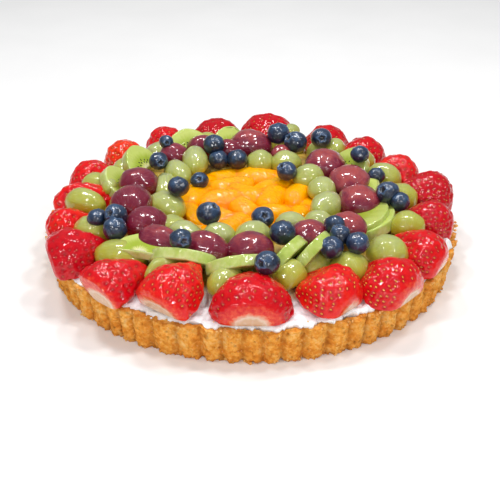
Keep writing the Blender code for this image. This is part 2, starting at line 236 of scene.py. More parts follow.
@dataclass
class Shape:
    """Surfaces gathered into one mesh: vertices, faces and named values for each vertex."""

    name: str
    points: list[np.ndarray] = field(default_factory=list)
    faces: list[np.ndarray] = field(default_factory=list)
    values: dict[str, list[np.ndarray]] = field(default_factory=dict)
    size: int = 0

    def add(self, points: np.ndarray, faces: list[np.ndarray], **values: np.ndarray | float) -> None:
        """Adds one surface.

        Args:
            points: Places (n, 3) in metres.
            faces: Arrays of vertex indices, counted from this surface's first vertex.
            **values: One value for each vertex, or one for all of them, under the attribute's name.
        """
        self.points.append(points)
        self.faces.extend(array + self.size for array in faces)
        for name, value in values.items():
            self.values.setdefault(name, []).append(np.broadcast_to(value, len(points)))
        self.size += len(points)

    def build(self, material: bpy.types.Material, slot: str, replaces: tuple[str, ...] = ()) -> None:
        """Makes the object, hangs it on the frame and hides the CAD nodes that it stands in for.

        Args:
            material: Finish of the whole piece.
            slot: The record's material slot; not used.
            replaces: CAD nodes that this piece is shown instead of.
        """
        mesh = bpy.data.meshes.new(self.name)
        polygons = [face for array in self.faces for face in array.tolist()]
        mesh.from_pydata(np.concatenate(self.points).tolist(), [], polygons)
        mesh.validate()
        for name, parts in self.values.items():
            layer = mesh.attributes.new(name, "FLOAT", "POINT")
            layer.data.foreach_set("value", np.concatenate(parts).astype(np.float32))
        mesh.shade_smooth()
        mesh.materials.append(material)
        thing = bpy.data.objects.new(self.name, mesh)
        bpy.context.scene.collection.objects.link(thing)
        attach(thing, BODY)
        if replaces:
            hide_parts(*replaces)
        LOG.info("%s: %d faces", self.name, len(mesh.polygons))


# ---------------------------------------------------------------- fruit read from the frame


def nodes_with(word: str) -> list[str]:
    """Names of the frame's nodes that hold a word, in order."""
    return sorted(name for name in frame["nodes"] if word in name)


def small_turns(angle: float) -> np.ndarray:
    """Turns by an angle and half of it about twelve evenly spread axes, and no turn at all.

    Args:
        angle: The larger turn in radians.

    Returns:
        Matrices (25, 3, 3).
    """
    turns = [Matrix.Identity(3)]
    for turn in (angle, angle / 2):
        turns += [Matrix.Rotation(turn, 3, Vector(axis)) for axis in spread_ways(12)]
    return np.array([np.array(turn) for turn in turns])


@dataclass
class Body:
    """One fruit of the frame as a convex body bounded by planes normal . x = offset."""

    node: str
    corners: np.ndarray
    normals: np.ndarray
    offsets: np.ndarray
    areas: np.ndarray
    centre: np.ndarray

    @property
    def azimuth(self) -> float:
        """Where the fruit lies round the tart, in degrees from +X."""
        return math.degrees(math.atan2(self.centre[1], self.centre[0]))

    @property
    def outwards(self) -> np.ndarray:
        """Level unit direction away from the tart's middle."""
        return unit(self.centre * (1.0, 1.0, 0.0))

    def span(self, way: np.ndarray) -> tuple[float, float]:
        """Lowest and highest place of the corners along a direction."""
        along = self.corners @ way
        return float(along.min()), float(along.max())

    def reach(self, ways: np.ndarray) -> np.ndarray:
        """Distance from the centre to the surface: the least (offset - normal . centre) / (normal . way)."""
        facing = np.maximum(ways @ self.normals.T, LEAST_COSINE)
        return ((self.offsets - self.normals @ self.centre) / facing).min(axis=-1)

    def surface(
        self,
        ways: np.ndarray,
        softness: float,
        axes: np.ndarray,
        grow: tuple[float, ...],
        roundness: float = 0.0,
    ) -> np.ndarray:
        """Rounded surface: centre + half spans x way x mean reach over a small cone of directions.

        The reach is measured in axes scaled by the body's half spans, so a long fruit keeps its ends.

        Args:
            ways: Unit directions (n, 3) in the scaled axes.
            softness: Half angle of the cone in degrees.
            axes: Three unit directions, as rows.
            grow: Factor on the reach along each axis.
            roundness: Share by which the reach is drawn towards its own mean.

        Returns:
            Places (n, 3) in metres.
        """
        spans = np.array([self.span(axis) for axis in axes])
        half = (spans[:, 1] - spans[:, 0]) / 2
        scaled = (self.normals @ axes.T) * half
        room = self.offsets - self.normals @ self.centre
        turned = np.einsum("tij,nj->tni", small_turns(math.radians(softness)), ways)
        each = [(room / np.maximum(some @ scaled.T, LEAST_COSINE)).min(axis=-1) for some in turned]
        reach = np.mean(each, axis=0)
        reach = reach + roundness * (reach.mean() - reach)
        return self.centre + (ways * reach[:, None] * half * grow) @ axes


def hull_body(node: str, points: np.ndarray) -> Body:
    """The convex hull of points as a body.

    Args:
        node: Name of the CAD node that the points come from.
        points: Places (n, 3) in metres.

    Returns:
        The body, with faces that lie in one plane counted as one.
    """
    mesh = bpy.data.meshes.new("hull")
    mesh.from_pydata(points.tolist(), [], [])
    hull = bmesh.new()
    hull.from_mesh(mesh)
    bpy.data.meshes.remove(mesh)
    made = bmesh.ops.convex_hull(hull, input=hull.verts)
    faces = [part for part in made["geom"] if isinstance(part, bmesh.types.BMFace)]
    corners = np.array([[tuple(vertex.co) for vertex in face.verts] for face in faces])
    hull.free()
    cross = np.cross(corners[:, 1] - corners[:, 0], corners[:, 2] - corners[:, 0])
    areas = np.linalg.norm(cross, axis=1) / 2
    whole = areas > SMALLEST_FACE
    corners, cross, areas = corners[whole], cross[whole], areas[whole]
    centre = (corners.mean(axis=1) * areas[:, None]).sum(axis=0) / areas.sum()
    normals = unit(cross)
    normals *= np.sign(((corners[:, 0] - centre) * normals).sum(axis=1))[:, None]
    offsets = (corners.reshape(-1, 3) @ normals.T).max(axis=0)
    keys = np.round(np.column_stack([normals * 50, offsets / MM * 5]))
    _, first, group = np.unique(keys, axis=0, return_index=True, return_inverse=True)
    total = np.bincount(group.reshape(-1), weights=areas)
    return Body(node, corners.reshape(-1, 3), normals[first], offsets[first], total, centre)


def merged_triangles(node: str) -> tuple[np.ndarray, np.ndarray]:
    """Points and triangles of a CAD node with its loose corners merged.

    Args:
        node: The CAD node.

    Returns:
        Points (n, 3) in metres, and indices of three points for each triangle.
    """
    mesh = frame["nodes"][node].data
    mesh.calc_loop_triangles()
    points = np.empty(len(mesh.vertices) * 3)
    mesh.vertices.foreach_get("co", points)
    triangles = np.empty(len(mesh.loop_triangles) * 3, int)
    mesh.loop_triangles.foreach_get("vertices", triangles)
    rounded = np.round(points.reshape(-1, 3), 6)
    merged, index = np.unique(rounded, axis=0, return_inverse=True)
    triangles = index.reshape(-1)[triangles].reshape(-1, 3)
    distinct = (triangles[:, 0] != triangles[:, 1]) & (triangles[:, 1] != triangles[:, 2])
    return merged, triangles[distinct & (triangles[:, 2] != triangles[:, 0])]


def convex_bodies(node: str) -> list[Body]:
    """The convex bodies that one CAD node was joined from, found by splitting it at its inward creases.

    Triangles that meet at an outward or flat edge belong together; flat undersides are left out,
    because fruits on one level share theirs. Each group's hull is one fruit.

    Args:
        node: Name of the CAD node.

    Returns:
        Its bodies by azimuth.
    """
    points, triangles = merged_triangles(node)
    corners = points[triangles]
    cross = np.cross(corners[:, 1] - corners[:, 0], corners[:, 2] - corners[:, 0])
    length = np.linalg.norm(cross, axis=1)
    normals = cross / np.maximum(length, 1e-15)[:, None]
    count = len(triangles)
    starts = triangles[:, [0, 1, 2]].T.reshape(-1)
    ends = triangles[:, [1, 2, 0]].T.reshape(-1)
    owner = np.tile(np.arange(count), 3)
    low, high = np.minimum(starts, ends), np.maximum(starts, ends)
    order = np.lexsort((high, low))
    same = (low[order][1:] == low[order][:-1]) & (high[order][1:] == high[order][:-1])
    first, second = order[:-1][same], order[1:][same]
    edge = unit(points[ends[first]] - points[starts[first]] + 1e-12)
    bend = (np.cross(normals[owner[first]], normals[owner[second]]) * edge).sum(axis=1)
    level = normals[:, 2] < UNDERSIDE
    keep = (bend > INWARD_CREASE) & ~level[owner[first]] & ~level[owner[second]]
    one, other = owner[first][keep], owner[second][keep]
    label = np.arange(count)
    for _ in range(count):
        before = label.copy()
        np.minimum.at(label, one, before[other])
        np.minimum.at(label, other, before[one])
        if (label == before).all():
            break
    bodies = []
    for group in np.unique(label[~level]):
        members = (label == group) & ~level
        if length[members].sum() > LEAST_SHARE * length[~level].sum() and members.sum() > LEAST_TRIANGLES:
            bodies.append(hull_body(node, points[np.unique(triangles[members])]))
    return sorted(bodies, key=lambda body: body.azimuth)


def loose_body(centre: np.ndarray, size: np.ndarray, heading: float, floor: float = -1.0) -> Body:
    """An ellipsoid cut level below, as the body of a fruit that the frame leaves to the looks.

    Args:
        centre: Middle of the ellipsoid in metres.
        size: Its full length, width and height in metres.
        heading: Way of its length in degrees from +X.
        floor: Level of the cut below, as a share of the half height.

    Returns:
        The body; each plane's offset is normal . centre + |half size * normal|.
    """
    along = direction(heading, 0.0)
    axes = np.array([along, np.cross(UP, along), UP])
    local = spread_ways(90)
    half = np.asarray(size) / 2
    normals = local @ axes
    offsets = normals @ centre + np.linalg.norm(local * half, axis=1)
    normals = np.vstack([normals, -UP])
    offsets = np.append(offsets, -(centre[2] + floor * half[2]))
    corners = centre + (unit(local) * half) @ axes
    corners[:, 2] = np.maximum(corners[:, 2], centre[2] + floor * half[2])
    middle = centre + UP * (1.0 + floor) * half[2] * 0.45
    return Body("", corners, normals, offsets, np.ones(len(normals)), middle)


@dataclass
class Top:
    """The surface laid so far, on which a loose fruit comes to rest."""

    laid: list[np.ndarray] = field(default_factory=list)

    def add(self, points: np.ndarray) -> None:
        """Keeps the points of one laid fruit."""
        self.laid.append(points)

    def rest(self, x: float, y: float, radius: float) -> float:
        """Level of a ball's middle when it comes to rest: the highest z + sqrt(radius^2 - distance^2).

        Args:
            x: Place of the ball in metres.
            y: Place of the ball in metres.
            radius: Its radius in metres.

        Returns:
            The level in metres.
        """
        points = np.concatenate(self.laid)
        square = ((points[:, :2] - (x, y)) ** 2).sum(axis=1)
        under = square < radius * radius
        levels = points[under, 2] + np.sqrt(radius * radius - square[under])
        return float(levels.max(initial=CREAM_LEVEL + radius))


# ---------------------------------------------------------------- finishes


def colour(code: str) -> tuple[float, float, float, float]:
    """An sRGB hex colour turned to linear values, with full opacity.

    Args:
        code: The colour as #RRGGBB.

    Returns:
        Red, green, blue and opacity, 0 to 1.
    """
    shares = [int(code[place : place + 2], 16) / 255 for place in (1, 3, 5)]
    linear = [share / 12.92 if share <= 0.04045 else ((share + 0.055) / 1.055) ** 2.4 for share in shares]
    return (linear[0], linear[1], linear[2], 1.0)


def add(
    tree: bpy.types.NodeTree,
    kind: str,
    inputs: dict[str | int, object] | None = None,
    stops: Stops = (),
    output: int = 0,
    **settings: object,
) -> bpy.types.NodeSocket | None:
    """Adds one shader node with its settings, values and links.

    Args:
        tree: Node tree of the material.
        kind: Node type without its ShaderNode prefix.
        inputs: For each input, the socket that feeds it, its value, its hex colour, or the name of the
            surface's own value that it reads.
        stops: Places and hex colours of a colour ramp.
        output: Which output is handed back.
        **settings: Attributes of the node.

    Returns:
        That output's socket, or None where the node has no output.
    """
    made = tree.nodes.new("ShaderNode" + kind)
    for name, value in settings.items():
        setattr(made, name, value)
    for name, value in (inputs or {}).items():
        if isinstance(value, str):
            named = not value.startswith("#")
            value = add(tree, "Attribute", output=2, attribute_name=value) if named else colour(value)
        if isinstance(value, bpy.types.NodeSocket):
            tree.links.new(value, made.inputs[name])
        else:
            made.inputs[name].default_value = value
    if stops:
        elements = made.color_ramp.elements
        while len(elements) < len(stops):
            elements.new(0.5)
        for element, (place, code) in zip(elements, stops):
            element.position = place
            element.color = colour(code)
    return made.outputs[output] if made.outputs else None


@dataclass(frozen=True)
class Finish:
    """One finish. Its sockets method says what each input of the Principled shader gets."""

    def sockets(self, tree: bpy.types.NodeTree) -> dict[str, object]:
        """Values and links of the shader's inputs.

        Args:
            tree: The material's nodes.

        Returns:
            Values, links and colours of the shader's inputs.
        """
        raise NotImplementedError

    def make(self) -> bpy.types.Material:
        """Builds the material, named after the finish.

        Returns:
            The material.
        """
        material = bpy.data.materials.new(type(self).__name__)
        material.use_nodes = True
        tree = material.node_tree
        tree.nodes.clear()
        add(tree, "OutputMaterial", {"Surface": add(tree, "BsdfPrincipled", self.sockets(tree))})
        return material

    def noise(self, tree: bpy.types.NodeTree, size_mm: float, detail: float = 2.0) -> bpy.types.NodeSocket:
        """Noise on the object's own coordinates, with patches of a real size in millimetres."""
        place = add(tree, "TexCoord", output=3)
        return add(tree, "TexNoise", {"Vector": place, "Scale": 1.0 / (size_mm * MM), "Detail": detail})

    def layers(
        self, tree: bpy.types.NodeTree, base: object, *over: tuple[object, object]
    ) -> bpy.types.NodeSocket:
        """A colour with others laid over it, each by its own share of 0 to 1.

        Args:
            tree: Node tree of the material.
            base: Socket or colour at the bottom.
            *over: Pairs of a share and a socket or colour.

        Returns:
            The last mix's socket.
        """
        for share, shade in over:
            base = add(tree, "Mix", {0: share, 6: base, 7: shade}, output=2, data_type="RGBA")
        return base

    def sum(self, tree: bpy.types.NodeTree, *terms: tuple[object, float]) -> bpy.types.NodeSocket:
        """The sum of sockets, names of values or numbers, each times its weight.

        Args:
            tree: The material's nodes.
            *terms: Pairs of a term and its weight.

        Returns:
            The sum's socket.
        """
        total: object = 0.0
        for term, weight in terms:
            total = add(tree, "Math", {0: term, 1: weight, 2: total}, operation="MULTIPLY_ADD")
        return total


@dataclass(frozen=True)
class ShortcrustPastry(Finish):
    """Baked shortcrust: a dry golden crumb, browner at the rim, darker in the flute creases and the pores as
    painted shade, with pale sugary specks.
    """

    gold: Stops = ((0.14, "#C87424"), (0.4, "#E49234"), (0.58, "#F2AC4C"), (0.84, "#FACC80"))
    # Laid over the gold: browning with painted shade in the flute creases, painted shade in the pores, pale
    # crumbs.
    over: tuple[tuple[str, str], ...] = (("browned_and_shaded", "#8A4A18"), ("pore_shade", "#5E2C10"), ("crumb", "#F2C684"))

    def sockets(self, tree: bpy.types.NodeTree) -> dict[str, object]:
        """Golden by patches of 11 and 2.2 mm; darker where it is browned at the rim, towards the foot, and in
        the flute creases and the holes, where the darkening is painted shade.

        Args:
            tree: The material's nodes.

        Returns:
            Values, links and colours of the shader's inputs.
        """
        patches = self.sum(tree, (self.noise(tree, 11), 0.8), (self.noise(tree, 2.2, 4), 1.0), (-0.4, 1.0))
        gold = add(tree, "ValToRGB", {"Fac": patches}, self.gold)
        grain = self.sum(tree, (self.noise(tree, 0.7, 3), 0.6), (self.noise(tree, 2.5, 2), 0.6))
        return {
            "Base Color": self.layers(tree, gold, *self.over),
            "Roughness": 0.8,
            "IOR": 1.45,
            "Specular IOR Level": 0.12,
            "Subsurface Weight": 0.12,
            "Subsurface Radius": (1.0, 0.5, 0.25),
            "Subsurface Scale": 1.2 * MM,
            "Normal": add(tree, "Bump", {"Height": grain, "Distance": 0.9 * MM, "Strength": 0.7}),
        }


@dataclass(frozen=True)
class WhippedCream(Finish):
    """Whipped cream: cool white with soft light in it, a little stained by juice, a darker yellow between the
    fruit that is glaze and painted shade.
    """

    white: Stops = ((0.2, "#F8FBFF"), (0.8, "#FDFEFF"), (0.95, "#F8ECEE"), (1.0, "#ECCCD0"))

    def sockets(self, tree: bpy.types.NodeTree) -> dict[str, object]:
        """White with pink stains in patches of 7 mm; a darker yellow between the fruit, which is glaze and
        painted shade there.

        Args:
            tree: The material's nodes.

        Returns:
            Values, links and colours of the shader's inputs.
        """
        patches = self.sum(tree, (self.noise(tree, 7, 3), 1.0), ("stain", 0.12))
        white = add(tree, "ValToRGB", {"Fac": patches}, self.white)
        lumps = self.noise(tree, 2.2, 2)
        return {
            "Base Color": self.layers(tree, white, ("glaze_and_shade", "#D8B44C")),
            "Roughness": 0.38,
            "IOR": 1.46,
            "Subsurface Weight": 0.25,
            "Subsurface Radius": (1.0, 0.97, 0.95),
            "Subsurface Scale": 1.2 * MM,
            "Coat Weight": "glaze_and_shade",
            "Coat Roughness": 0.06,
            "Normal": add(tree, "Bump", {"Height": lumps, "Distance": 0.3 * MM, "Strength": 0.5}),
        }


@dataclass(frozen=True)
class StrawberryFlesh(Finish):
    """Ripe strawberry under clear glaze: red dimpled skin, darker red in the dimples as painted shade, yellow
    or crimson seeds, a pale cut stem end.
    """

    skin: Stops = ((0.0, "#AC0618"), (0.35, "#CC0A1A"), (0.7, "#E41414"), (1.0, "#F4380E"))
    cut: Stops = ((0.0, "#E42010"), (0.3, "#EC5A38"), (0.52, "#E4A084"), (0.74, "#E8CCB8"), (1.0, "#DAB290"))
    seed: Stops = ((0.0, "#B83430"), (0.4, "#CC642C"), (0.7, "#E89A38"), (1.0, "#F2BE50"))
    # Painted shade in the dimples round the seeds.
    hollow: str = "#9C061A"

    def sockets(self, tree: bpy.types.NodeTree) -> dict[str, object]:
        """Crimson to orange-red by the fruit's tone, darker in the seed dimples as painted shade, pale
        towards the cut, seeds by their own value.

        Args:
            tree: The material's nodes.

        Returns:
            Values, links and colours of the shader's inputs.
        """
        tone = self.sum(tree, ("tone", 1.0), (self.noise(tree, 7, 2), 0.5), (-0.25, 1.0))
        edge = self.sum(tree, ("stem", 1.0), (self.noise(tree, 2.2, 3), 0.5), (-0.25, 1.0))
        red = add(tree, "ValToRGB", {"Fac": tone}, self.skin)
        pale = add(tree, "ValToRGB", {"Fac": edge}, self.cut)
        share = add(tree, "MapRange", {0: edge, 1: 0.12, 2: 0.36})
        seed = add(tree, "ValToRGB", {"Fac": "ripe"}, self.seed)
        grain = self.sum(tree, (self.noise(tree, 1.2, 1), 0.55), (self.noise(tree, 2.6, 1), 0.9))
        gloss = self.noise(tree, 2.3, 1)
        return {
            "Base Color": self.layers(tree, red, ("dimple", self.hollow), (share, pale), ("seed", seed)),
            "Roughness": 0.4,
            "IOR": 1.4,
            "Subsurface Weight": 0.12,
            "Subsurface Radius": (1.0, 0.15, 0.08),
            "Subsurface Scale": 2.0 * MM,
            "Specular IOR Level": 0.05,
            "Coat Weight": 1.0,
            "Coat Roughness": 0.03,
            "Coat IOR": 1.42,
            "Normal": add(tree, "Bump", {"Height": grain, "Distance": 0.7 * MM, "Strength": 0.5}),
            "Coat Normal": add(tree, "Bump", {"Height": gloss, "Distance": 0.7 * MM, "Strength": 0.5}),
        }


@dataclass(frozen=True)
class GrapeSkin(Finish):
    """Glazed grape: a translucent skin with faint light lines along it, paler towards the top as painted
    sheen, deeper at the cut edge below.
    """

    stops: Stops
    line: str
    depth_mm: float
    radius: tuple[float, float, float]
    mottle: float = 0.5

    def sockets(self, tree: bpy.types.NodeTree) -> dict[str, object]:
        """Colour by height on the fruit, paler towards the top as painted sheen, by its tone and patches of 6
        mm; lines by stretched noise.

        Args:
            tree: The material's nodes.

        Returns:
            Values, links and colours of the shader's inputs.
        """
        patches = self.noise(tree, 6, 3)
        evening = -0.07 - self.mottle / 2
        level = self.sum(tree, ("sheen_height", 0.72), ("tone", 0.5), (patches, self.mottle), (evening, 1.0))
        skin = add(tree, "ValToRGB", {"Fac": level}, self.stops)
        place = add(tree, "CombineXYZ", {0: "around", 1: "along", 2: "tone"})
        lines = add(tree, "TexNoise", {"Vector": place, "Scale": 6.0, "Detail": 3.0})
        share = add(tree, "MapRange", {0: lines, 1: 0.56, 2: 0.74, 4: 0.3})
        grain = self.sum(tree, (self.noise(tree, 2.6, 1), 1.0), (self.noise(tree, 0.9, 1), 0.25))
        gloss = self.noise(tree, 2.6, 1)
        return {
            "Base Color": self.layers(tree, skin, (share, self.line)),
            "Roughness": 0.3,
            "IOR": 1.38,
            "Subsurface Weight": 0.55,
            "Subsurface Radius": self.radius,
            "Subsurface Scale": self.depth_mm * MM,
            "Specular IOR Level": 0.3,
            "Coat Weight": 1.0,
            "Coat Roughness": 0.025,
            "Coat IOR": 1.55,
            "Normal": add(tree, "Bump", {"Height": grain, "Distance": 0.45 * MM, "Strength": 0.35}),
            "Coat Normal": add(tree, "Bump", {"Height": gloss, "Distance": 0.45 * MM, "Strength": 0.5}),
        }


# Skin ramps: low values at the cut edge below, high ones on top, where they are paler as painted sheen.
GREEN_SKIN = GrapeSkin(
    ((0.05, "#A08C06"), (0.25, "#AEA622"), (0.5, "#B2B03E"), (0.75, "#B0B65C"), (1.0, "#B2BA7C")),
    "#E2E8A8",
    4.0,
    (0.8, 1.0, 0.2),
)
RED_SKIN = GrapeSkin(
    ((0.05, "#D0440C"), (0.2, "#92141C"), (0.42, "#74102C"), (0.7, "#80263E"), (0.95, "#A8484A")),
    "#C0848E",
    2.0,
    (1.0, 0.3, 0.2),
    0.75,
)


@dataclass(frozen=True)
class BlueberrySkin(Finish):
    """Blueberry: navy skin under patchy pale bloom and glaze, with a dark hollow crown."""

    navy: Stops = ((0.1, "#0A1428"), (0.6, "#142440"), (1.0, "#241C40"))
    bloom: str = "#4C7CB0"

    def sockets(self, tree: bpy.types.NodeTree) -> dict[str, object]:
        """Navy to purple by tone, paler where the bloom lies in patches of 4 mm and more so towards the top
        as painted sheen, dark in the crown.

        Args:
            tree: The material's nodes.

        Returns:
            Values, links and colours of the shader's inputs.
        """
        shade = self.sum(tree, ("tone", 1.0), (self.noise(tree, 5, 2), 0.3))
        bare = add(tree, "ValToRGB", {"Fac": shade}, self.navy)
        cover = self.sum(tree, (self.noise(tree, 4, 3), 1.0), (self.noise(tree, 0.8, 2), 0.5), ("sheen_height", 0.3))
        share = add(tree, "MapRange", {0: cover, 1: 0.78, 2: 1.35, 4: 0.46})
        over = ((share, self.bloom), ("crown", "#0C1020"), ("lobe", "#4E6C94"))
        grain, gloss = self.noise(tree, 1.2, 3), self.noise(tree, 1.8, 2)
        return {
            "Base Color": self.layers(tree, bare, *over),
            "Roughness": 0.42,
            "IOR": 1.42,
            "Coat Weight": 0.9,
            "Coat Roughness": 0.04,
            "Coat IOR": 1.55,
            "Normal": add(tree, "Bump", {"Height": grain, "Distance": 0.35 * MM, "Strength": 0.5}),
            "Coat Normal": add(tree, "Bump", {"Height": gloss, "Distance": 0.5 * MM, "Strength": 0.6}),
        }


@dataclass(frozen=True)
class KiwiFlesh(Finish):
    """Peeled kiwi slice: white core, light rays and black seeds in green flesh, a pale peeled edge."""

    rings: Stops = (
        (0.12, "#ECEAB8"),
        (0.26, "#D2D880"),
        (0.38, "#A4B834"),
        (0.6, "#A8BC3C"),
        (0.9, "#C6D46E"),
    )
    peeled: Stops = ((0.3, "#A6BC4A"), (0.55, "#B8CA68"), (0.8, "#D0DA94"))

    def sockets(self, tree: bpy.types.NodeTree) -> dict[str, object]:
        """Rings of colour by distance from the core, rays by angle, the peeled edge by its own value.

        Args:
            tree: The material's nodes.

        Returns:
            Values, links and colours of the shader's inputs.
        """
        place = add(tree, "CombineXYZ", {0: "turn", 1: "ring", 2: "tone"})
        stretched = add(tree, "Mapping", {"Vector": place, "Scale": (9.0, 1.4, 1.0)})
        rays = add(tree, "TexNoise", {"Vector": stretched, "Scale": 1.0, "Detail": 2.0})
        ring = self.sum(tree, ("ring", 1.0), (rays, 0.34), (-0.17, 1.0))
        flesh = add(tree, "ValToRGB", {"Fac": ring}, self.rings)
        patches = self.sum(tree, (self.noise(tree, 5, 3), 1.0), ("tone", 0.2))
        peeled = add(tree, "ValToRGB", {"Fac": patches}, self.peeled)
        grain = self.sum(tree, (rays, 0.6), (self.noise(tree, 1.4, 2), 0.6))
        relief = add(tree, "Bump", {"Height": grain, "Distance": 0.5 * MM, "Strength": 0.5})
        return {
            "Base Color": self.layers(tree, flesh, ("peeled", peeled), ("seed", "#16120C")),
            "Roughness": 0.3,
            "IOR": 1.38,
            "Subsurface Weight": 0.4,
            "Subsurface Radius": (0.8, 1.0, 0.3),
            "Subsurface Scale": 2.0 * MM,
            "Specular IOR Level": 0.3,
            "Coat Weight": 1.0,
            "Coat Roughness": 0.06,
            "Normal": relief,
            "Coat Normal": relief,
        }


@dataclass(frozen=True)
class MandarinFlesh(Finish):
    """Skinned mandarin segment in glaze: bright orange juice sacs, deeper orange in the creases between
    segments as painted shade.
    """

    orange: Stops = ((0.0, "#F67E00"), (0.3, "#FA8E00"), (0.55, "#FE9E00"), (0.9, "#FFB200"))

    def sockets(self, tree: bpy.types.NodeTree) -> dict[str, object]:
        """Orange by juice sacs of 2.2 mm and patches of 9 mm, deeper where the crease value paints shade
        between the segments and under the heap's edge.

        Args:
            tree: The material's nodes.

        Returns:
            Values, links and colours of the shader's inputs.
        """
        sacs = self.noise(tree, 2.2, 2)
        patches = self.noise(tree, 9, 2)
        level = self.sum(tree, ("shaded_crease", -0.75), (sacs, 0.5), (patches, 0.4), (0.28, 1.0))
        grain = self.sum(tree, (sacs, 0.8), (self.noise(tree, 0.9, 2), 0.4))
        gloss = self.noise(tree, 2.1, 2)
        return {
            "Base Color": add(tree, "ValToRGB", {"Fac": level}, self.orange),
            "Roughness": 0.35,
            "IOR": 1.38,
            "Subsurface Weight": 0.3,
            "Subsurface Radius": (1.0, 0.45, 0.03),
            "Subsurface Scale": 2.0 * MM,
            "Specular IOR Level": 0.0,
            "Coat Weight": 0.75,
            "Coat Roughness": 0.025,
            "Coat IOR": 1.46,
            "Normal": add(tree, "Bump", {"Height": grain, "Distance": 0.5 * MM, "Strength": 0.3}),
            "Coat Normal": add(tree, "Bump", {"Height": gloss, "Distance": 0.6 * MM, "Strength": 0.6}),
        }


@dataclass(frozen=True)
class PaleFloor(Finish):
    """Matt white painted board under the tart."""

    white: Stops = ((0.3, "#F8F8F8"), (0.7, "#FBFBFB"))

    def sockets(self, tree: bpy.types.NodeTree) -> dict[str, object]:
        """Nearly white, with a barely seen mottle.

        Args:
            tree: The material's nodes.

        Returns:
            Values, links and colours of the shader's inputs.
        """
        mottle = add(tree, "ValToRGB", {"Fac": self.noise(tree, 80, 2)}, self.white)
        return {"Base Color": mottle, "Roughness": 0.9}


# ---------------------------------------------------------------- fruit


def grid_normals(points: np.ndarray, faces: list[np.ndarray]) -> np.ndarray:
    """Outward unit normal at each vertex: the mean of the cross products of its faces' diagonals.

    Args:
        points: Vertices of a closed surface.
        faces: Its arrays of vertex indices.

    Returns:
        Unit vectors, one for each vertex.
    """
    total = np.zeros_like(points)
    for array in faces:
        corner = points[array]
        cross = np.cross(corner[:, 2] - corner[:, 0], corner[:, -1] - corner[:, 1])
        if array.shape[1] == 3:
            cross = np.cross(corner[:, 1] - corner[:, 0], corner[:, 2] - corner[:, 0])
        for column in range(array.shape[1]):
            np.add.at(total, array[:, column], cross)
    return unit(total + 1e-15)


@dataclass
class Seed:
    """A small pip, strewn over a fruit: a drop of few faces."""

    length_mm: float
    width_mm: float
    height_mm: float
    narrowing: float = 0.35
    rings: int = 3
    spokes: int = 6

    def strew(
        self,
        shape: Shape,
        places: np.ndarray,
        normals: np.ndarray,
        headings: np.ndarray,
        **values: np.ndarray | float,
    ) -> None:
        """Adds one pip at each place: place + length x along + width y across + height z out, on a unit ball.

        Args:
            shape: Mesh that takes them.
            places: Middles of the pips (n, 3).
            normals: Outward directions (n, 3).
            headings: Directions of their points (n, 3).
            **values: One value for each pip, or one for all.
        """
        ball = ball_ways(self.rings, self.spokes, FIRST)
        ball[:, 1:] *= 1.0 - self.narrowing * ball[:, :1]
        ball *= np.array([self.length_mm, self.width_mm, self.height_mm]) / 2 * MM
        along = unit(headings - (headings * normals).sum(axis=1, keepdims=True) * normals)
        axes = np.stack([along, np.cross(normals, along), normals], axis=1)
        points = (places[:, None, :] + np.einsum("vk,nkc->nvc", ball, axes)).reshape(-1, 3)
        faces = copies(ball_faces(self.rings, self.spokes), len(ball), len(places))
        spread = {
            name: np.repeat(np.broadcast_to(value, len(places)), len(ball)) for name, value in values.items()
        }
        shape.add(points, faces, **spread)


@dataclass(frozen=True)
class Berry:
    """What sets one strawberry apart from the next."""

    pale: float = 0.8  # how pale its cut is
    spread_mm: float = 2.6  # how far the paleness goes on over the skin
    tone: float = 0.52
    ripe: float = 0.5  # of its seeds: crimson to yellow
    spacing_mm: float = 5.0  # of its seeds
    pointed: float = 0.15  # how far its tip is drawn to a point
    size: float = 1.0
    recut: tuple[float, float, float] | None = None  # azimuth, dip (degrees) and depth (mm) of a wider cut


